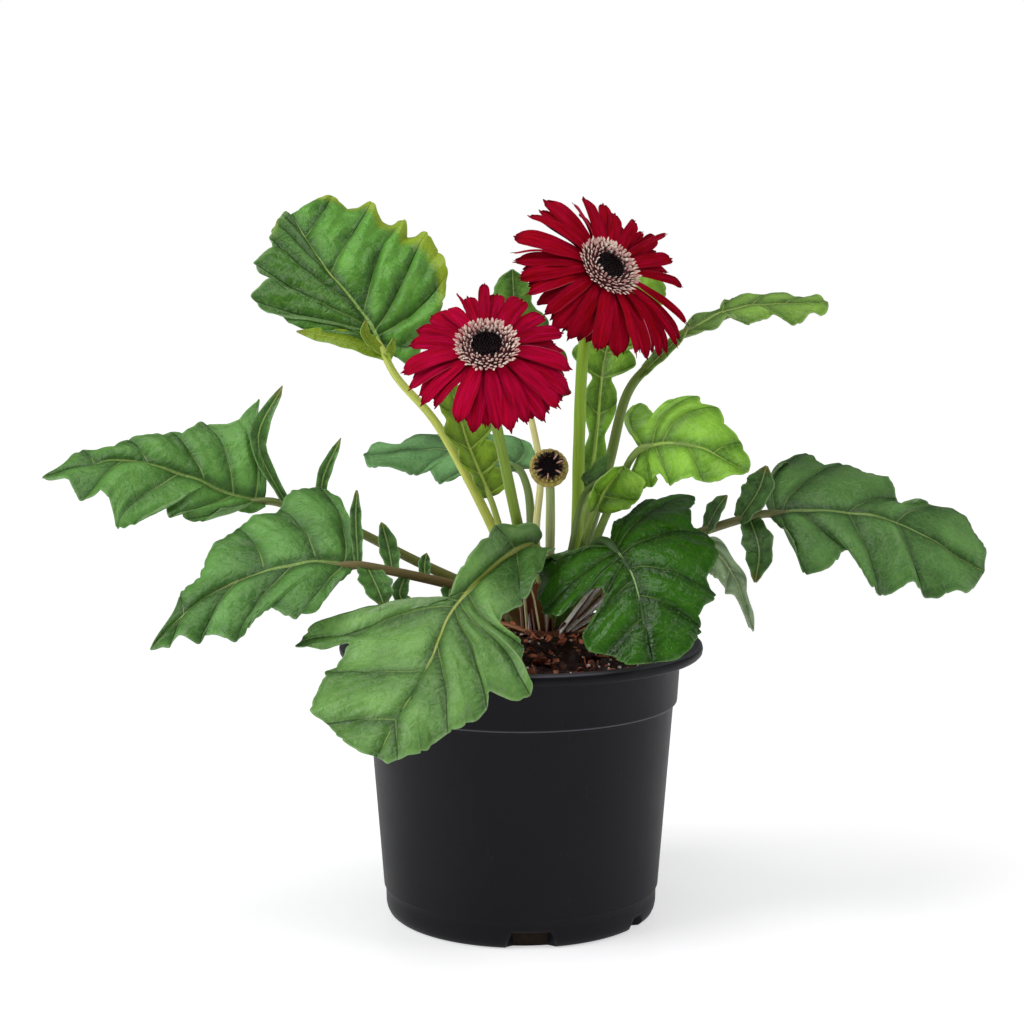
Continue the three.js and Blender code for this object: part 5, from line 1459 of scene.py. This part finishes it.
def pot_piece():
    """The nursery pot, turned from the CAD profile with more facets and rounded edges."""
    wall = [[r, z, r, None] for r, z in WALL_ROWS]
    outline = [[0.01, 0, 0.01, 0], [50, 0, 50, 0]] + FOOT_ROWS + wall + INNER_ROWS + [[0.01, 2.5, 0.01, None]]
    gaps = [(math.radians(a) % FULL_TURN, notch["top"] / FOOT_DIAMETER, notch["width"] / FOOT_DIAMETER,
             notch["height"]) for notch in NOTCHES for a in notch["directions"]]

    def nearest_gap(a):
        """The angle to the nearest notch, that notch's half angles at its top and foot, and its height."""
        return min((abs((a - c + math.pi) % FULL_TURN - math.pi), *sizes) for c, *sizes in gaps)

    # even steps round the pot, with the notches' corners in place of the steps on their sides
    turns = []
    for a in circle(168):
        away, narrow, wide, _ = nearest_gap(a)
        if not narrow - 0.01 < away < wide + 0.01:
            turns.append(a)
    for c, narrow, wide, _ in gaps:
        for corner in (narrow - 0.004, narrow, wide, wide + 0.004):
            turns += [(c - corner) % FULL_TURN, (c + corner) % FULL_TURN]
    turns.sort()
    points = []
    for a in turns:
        away, narrow, wide, notch_height = nearest_gap(a)
        inside = np.clip((wide - away) / (wide - narrow), 0, 1)
        for r, z, notch_r, share in outline:
            notch_z = z if share is None else share * notch_height
            radius = r + (notch_r - r) * inside
            points.append([radius * math.cos(a), radius * math.sin(a), z + (notch_z - z) * inside])
    # the row of faces between the foot's inner and outer edge closes the notch: there the mix shows
    cols = len(outline)
    notch_row = 2
    faces = []
    kinds = []
    for i, a in enumerate(turns):
        k = (i + 1) % len(turns)
        here, narrow, _, _ = nearest_gap(a + 1e-4)
        there, _, _, _ = nearest_gap(turns[k] - 1e-4)
        for j in range(cols - 1):
            faces.append([i * cols + j, k * cols + j, k * cols + j + 1, i * cols + j + 1])
            kinds.append(1 if max(here, there) < narrow and j == notch_row else 0)
    piece = Piece("nursery_pot")
    piece.add(points, faces, kinds)
    behind = Shader("mix_in_notch", 0.8, Specular_IOR_Level=0.1)
    grains = behind.mix(behind.noise(behind.place(), 500.0), (26, 20, 16), (52, 42, 34))
    return piece.build([pot_material(), behind.finish(grains)], 40)


dress(pot_piece(), "pot_plastic", "pot")

# ---------------------------------------------------------------- potting mix


def soil_height(r):
    return SOIL["mound"] - (SOIL["mound"] - SOIL["rim"]) * smoothstep(SOIL["plateau"], SOIL["edge"], r)


def bark_material():
    s = Shader("bark_mix", 0.7, Specular_IOR_Level=0.4)
    place = s.place()
    body = s.mix(s.step(s.value("tone"), 0.2, 1.0), (32, 12, 8), (240, 136, 98))
    fine = s.step(s.noise(place, 700.0, 4.0), 0.35, 0.7)
    body = s.mix(s.times(fine, 0.5), body, (74, 24, 16))
    # painted glints of light on the chips
    painted_glint = s.times(s.step(s.noise(place, 260.0), 0.58, 0.7), 0.7)
    body = s.mix(painted_glint, body, (214, 140, 104))
    roughness = s.step(s.noise(place, 420.0, 2.0), 0.3, 0.7, 0.35, 0.8)
    return s.finish(body, s.times(s.noise(place, 900.0, 4.0), 0.5), 1.0, roughness)


def grit_material():
    s = Shader("perlite", 0.75)
    body = s.mix(s.noise(s.place(), 900.0), (255, 252, 246), (236, 208, 196))
    return s.finish(body, s.times(s.noise(s.place(), 1500.0), 0.2))


def scatter(piece, rng, count, size, kind, spread=(0, 67), squash=(0.25, 0.6), long=(1.0, 2.2), lift=0.2):
    """Strews lumps over the mound. spread = radii between which they lie; squash, long = their height and
    length as shares of their width; lift = height of their middle over the mound."""
    for _ in range(count):
        r = math.sqrt(rng.uniform(spread[0] ** 2, spread[1] ** 2))
        a = rng.uniform(0, FULL_TURN)
        s = size * rng.uniform(0.5, 1.3)
        lump, faces = blob(rng, [s * rng.uniform(*long), s, s * rng.uniform(*squash)])
        tilt = turn_matrix(rng)
        lump = lump @ tilt.T if rng.uniform() < 0.6 else lump
        spin = rng.uniform(0, FULL_TURN)
        c, d = math.cos(spin), math.sin(spin)
        lump = lump @ np.array([[c, d, 0], [-d, c, 0], [0, 0, 1]])
        piece.add(lump + polar(a, r, soil_height(r) + lift), faces, kind, tone=rng.uniform(0, 1))


def soil_piece():
    """Loose bark and peat: a lumpy mound strewn with chips, fibres and a few white grains."""
    rng = np.random.default_rng(21)
    piece = Piece("potting_mix")
    sides, rows = 180, 92
    bottom = 104.0
    r, a = np.meshgrid(np.linspace(0.6, 69.6, rows), circle(sides), indexing="ij")
    x, y = r * np.cos(a), r * np.sin(a)
    z = soil_height(r) - 0.9
    for k, (size, height) in enumerate([(22, 1.1), (8, 0.9), (3.6, 0.7), (1.7, 0.4)]):
        z = z + height * ripple(40 + k, size, x, y)
    z = np.minimum(z, soil_height(r) + 0.6)
    points = np.concatenate([np.stack([x, y, z], -1).reshape(-1, 3), ring(sides, 70.0, bottom)])
    faces = grid_faces(rows + 1, sides, closed=True)
    faces += [list(range(sides))[::-1], [rows * sides + j for j in range(sides)]]
    piece.add(points, faces, 0, tone=rng.uniform(0, 0.2, len(points)))
    bark, grit = 0, 1
    scatter(piece, rng, 420, 1.9, bark)
    scatter(piece, rng, 520, 1.0, bark)
    scatter(piece, rng, 250, 0.55, grit, (20, 67), (0.5, 1.0), (0.8, 1.9), 0.9)
    fibres = 60
    for _ in range(fibres):
        r = rng.uniform(12, 64)
        at = polar(rng.uniform(0, FULL_TURN), r, soil_height(r) + 0.6)
        away = unit(rng.normal(size=3) * [1, 1, 0.25])
        bend = unit(np.append(rng.normal(size=2), 0.2))
        t = np.linspace(-1, 1, 8)[:, None]
        line = at + away * t * rng.uniform(2, 6) + bend * (t ** 2) * rng.uniform(-1, 1)
        line[:, 2] = np.maximum(line[:, 2], soil_height(np.hypot(line[:, 0], line[:, 1])) + 0.1)
        piece.add(*tube(line, rng.uniform(0.14, 0.3), 5), bark, tone=1.0)
    return piece.build([bark_material(), grit_material()], 45)


dress(soil_piece(), "potting_mix", "soil")

# ---------------------------------------------------------------- crown of old leaf bases


def dried_material(name, base, light, inside):
    s = Shader(name, 0.62, Specular_IOR_Level=0.3)
    flat = s.value("flat", "Vector")
    furrows = s.step(s.streaks(flat, (0.25, 2.6, 1.0), 4.0, 0.65), 0.34, 0.66)
    body = s.mix(furrows, base, light)
    body = s.mix(s.value("under"), body, inside)
    edge = s.step(s.value("side"), 0.5, 0.72)
    body = s.mix(s.times(edge, 0.85), body, shade(light, 1, (24, 24, 24)))
    return s.finish(body, s.times(s.streaks(flat, (0.4, 3.5, 1.0), 4.0), 0.5), 0.9)


def add_sheath(piece, rng, degrees, length, rise, half, kind, heading):
    """One dried, rolled leaf base with a ragged end."""
    heading = math.radians(heading)
    tilt = math.radians(rise)
    across = polar(heading + math.pi / 2, 1)
    along = polar(heading, math.cos(tilt), math.sin(tilt))
    up = np.cross(along, across)
    centre = np.array([CROWN["x"], CROWN["y"], 0.0])
    root = centre + polar(math.radians(degrees), CROWN["radius"] - 1, CROWN["foot"] - 0.5)
    t = np.linspace(-0.08, 1, 14)[:, None]
    s = np.linspace(-1, 1, 13)
    angle = s * math.radians(rng.uniform(58, 84))
    bend = rng.uniform(-0.8, 0.8)
    wide = half * np.interp(t, [-0.1, 0.3, 0.8, 1], [1.15, 1.0, 0.86, 0.62])
    ragged = 1 - 0.10 * np.abs(np.sin(s * 7 + degrees))
    run = t * np.where(t > 0.5, ragged, 1)
    side = wide * np.sin(angle)
    lift = wide * np.cos(angle) * 0.8 + bend * run ** 2
    top = root + along * (run * length)[..., None] + across * side[..., None] + up * lift[..., None]
    seed = rng.uniform(0, 90)
    piece.add_sheet(top, up, 0.45, list(DRIED).index(kind), (run * length + seed, side, seed), side=np.abs(s))


def crown_piece():
    """Dried, rolled leaf bases that stand out round the crown, a rough ring that they grow from, and
    crumbs between them."""
    rng = np.random.default_rng(31)
    piece = Piece("crown")
    for sheath in SHEATHS:
        add_sheath(piece, rng, *sheath)
    sides = 90
    wobble = 0.25 * np.sin(circle(sides) * 13) + 0.2 * np.sin(circle(sides) * 29 + 1)
    profile = [(22.7, 131.4), (24.7, 131.4), (24.4, 132.6), (23.9, 133.4), (23.0, 133.2), (22.7, 132.4)]
    rings = [ring(sides, radius + wobble * 0.5, z + (wobble if z > 132 else 0)) for radius, z in profile]
    points = np.concatenate(rings) + [CROWN["x"], CROWN["y"], 0]
    last = (len(profile) - 1) * sides
    faces = grid_faces(len(profile), sides, closed=True)
    faces += [[last + j, last + (j + 1) % sides, (j + 1) % sides, j] for j in range(sides)]
    piece.add(points, faces, list(DRIED).index("brown"), flat=points * 0.7)
    for _ in range(46):
        a = rng.uniform(0, FULL_TURN)
        at = [CROWN["x"], CROWN["y"], 0] + polar(a, rng.uniform(3, 24), 131.6)
        lump, faces = blob(rng, [rng.uniform(0.8, 1.8), rng.uniform(0.6, 1.2), rng.uniform(0.8, 2.4)])
        turned = lump @ turn_matrix(rng).T * [1, 1, 0.7]
        piece.add(turned + at, faces, int(rng.integers(0, len(DRIED))), flat=lump * 2)
    return piece.build([dried_material("sheath_" + kind, *colours) for kind, colours in DRIED.items()], 60)


dress(crown_piece(), "dried_stalk", "old_leaf_bases")

# ---------------------------------------------------------------- stage, camera and light


def floor():
    """A pale floor that fades to white far from the pot."""
    sides = 96
    radii = [0.02, 0.3, 0.8, 1.6, 2.6, 4.0]
    points = np.concatenate([ring(sides, radius, 0) for radius in radii])
    mesh = bpy.data.meshes.new("floor")
    mesh.from_pydata(points.tolist(), [], grid_faces(len(radii), sides, closed=True) + [list(range(sides))])
    s = Shader("floor_white", 0.32, Specular_IOR_Level=0.25)
    length = s.node("ShaderNodeVectorMath", {"operation": "LENGTH"})
    s.feed(length.inputs[0], s.place())
    far = s.step(length.outputs["Value"], 0.35, 1.6)
    s.feed(s.surface.inputs["Emission Color"], (1, 1, 1, 1))
    s.feed(s.surface.inputs["Emission Strength"], s.math("MULTIPLY_ADD", far, 0.46, 0.54))
    mesh.materials.append(s.finish(s.mix(far, (238, 237, 241), (0, 0, 0))))
    obj = bpy.data.objects.new("floor", mesh)
    bpy.context.scene.collection.objects.link(obj)


floor()

# The focal length is fitted to the photo: in pixels, for an image as wide as the photo
FOCAL_PIXELS = 2070
IMAGE_PIXELS = 1024
camera = bpy.data.cameras.new("camera")
camera.sensor_width = 36
camera.lens = camera.sensor_width * FOCAL_PIXELS / IMAGE_PIXELS
camera_object = bpy.data.objects.new("camera", camera)
camera_object.location = (-0.0041, -0.927, 0.299)
camera_object.rotation_euler = (math.radians(90 - 7.1), 0, 0)
bpy.context.scene.collection.objects.link(camera_object)
bpy.context.scene.camera = camera_object


def area_light(name, place, target, size, power):
    light = bpy.data.lights.new(name, "AREA")
    light.shape = "RECTANGLE"
    light.size, light.size_y = size
    light.energy = power
    obj = bpy.data.objects.new(name, light)
    obj.location = place
    obj.rotation_euler = (Vector(target) - Vector(place)).to_track_quat("-Z", "Y").to_euler()
    bpy.context.scene.collection.objects.link(obj)


area_light("key_left", (-1.5, -0.7, 1.2), (0, 0, 0.2), (1.0, 1.3), 19)
area_light("fill_right", (1.6, -0.3, 0.8), (0, 0, 0.15), (0.8, 1.3), 8)
area_light("top", (-0.2, -0.2, 1.9), (0, 0, 0.15), (1.2, 1.2), 12)

# The white surroundings are dimmer as a light than as the camera sees them
world = bpy.data.worlds.new("studio")
world.use_nodes = True
tree = world.node_tree
background = tree.nodes["Background"]
background.inputs["Color"].default_value = (1, 1, 1, 1)
paths = tree.nodes.new("ShaderNodeLightPath")
power = tree.nodes.new("ShaderNodeMapRange")
power.inputs["To Min"].default_value = 0.22
power.inputs["To Max"].default_value = 1.0
tree.links.new(paths.outputs["Is Camera Ray"], power.inputs["Value"])
tree.links.new(power.outputs["Result"], background.inputs["Strength"])
bpy.context.scene.world = world
bpy.context.scene.view_settings.view_transform = "Standard"
bpy.context.scene.view_settings.look = "None"
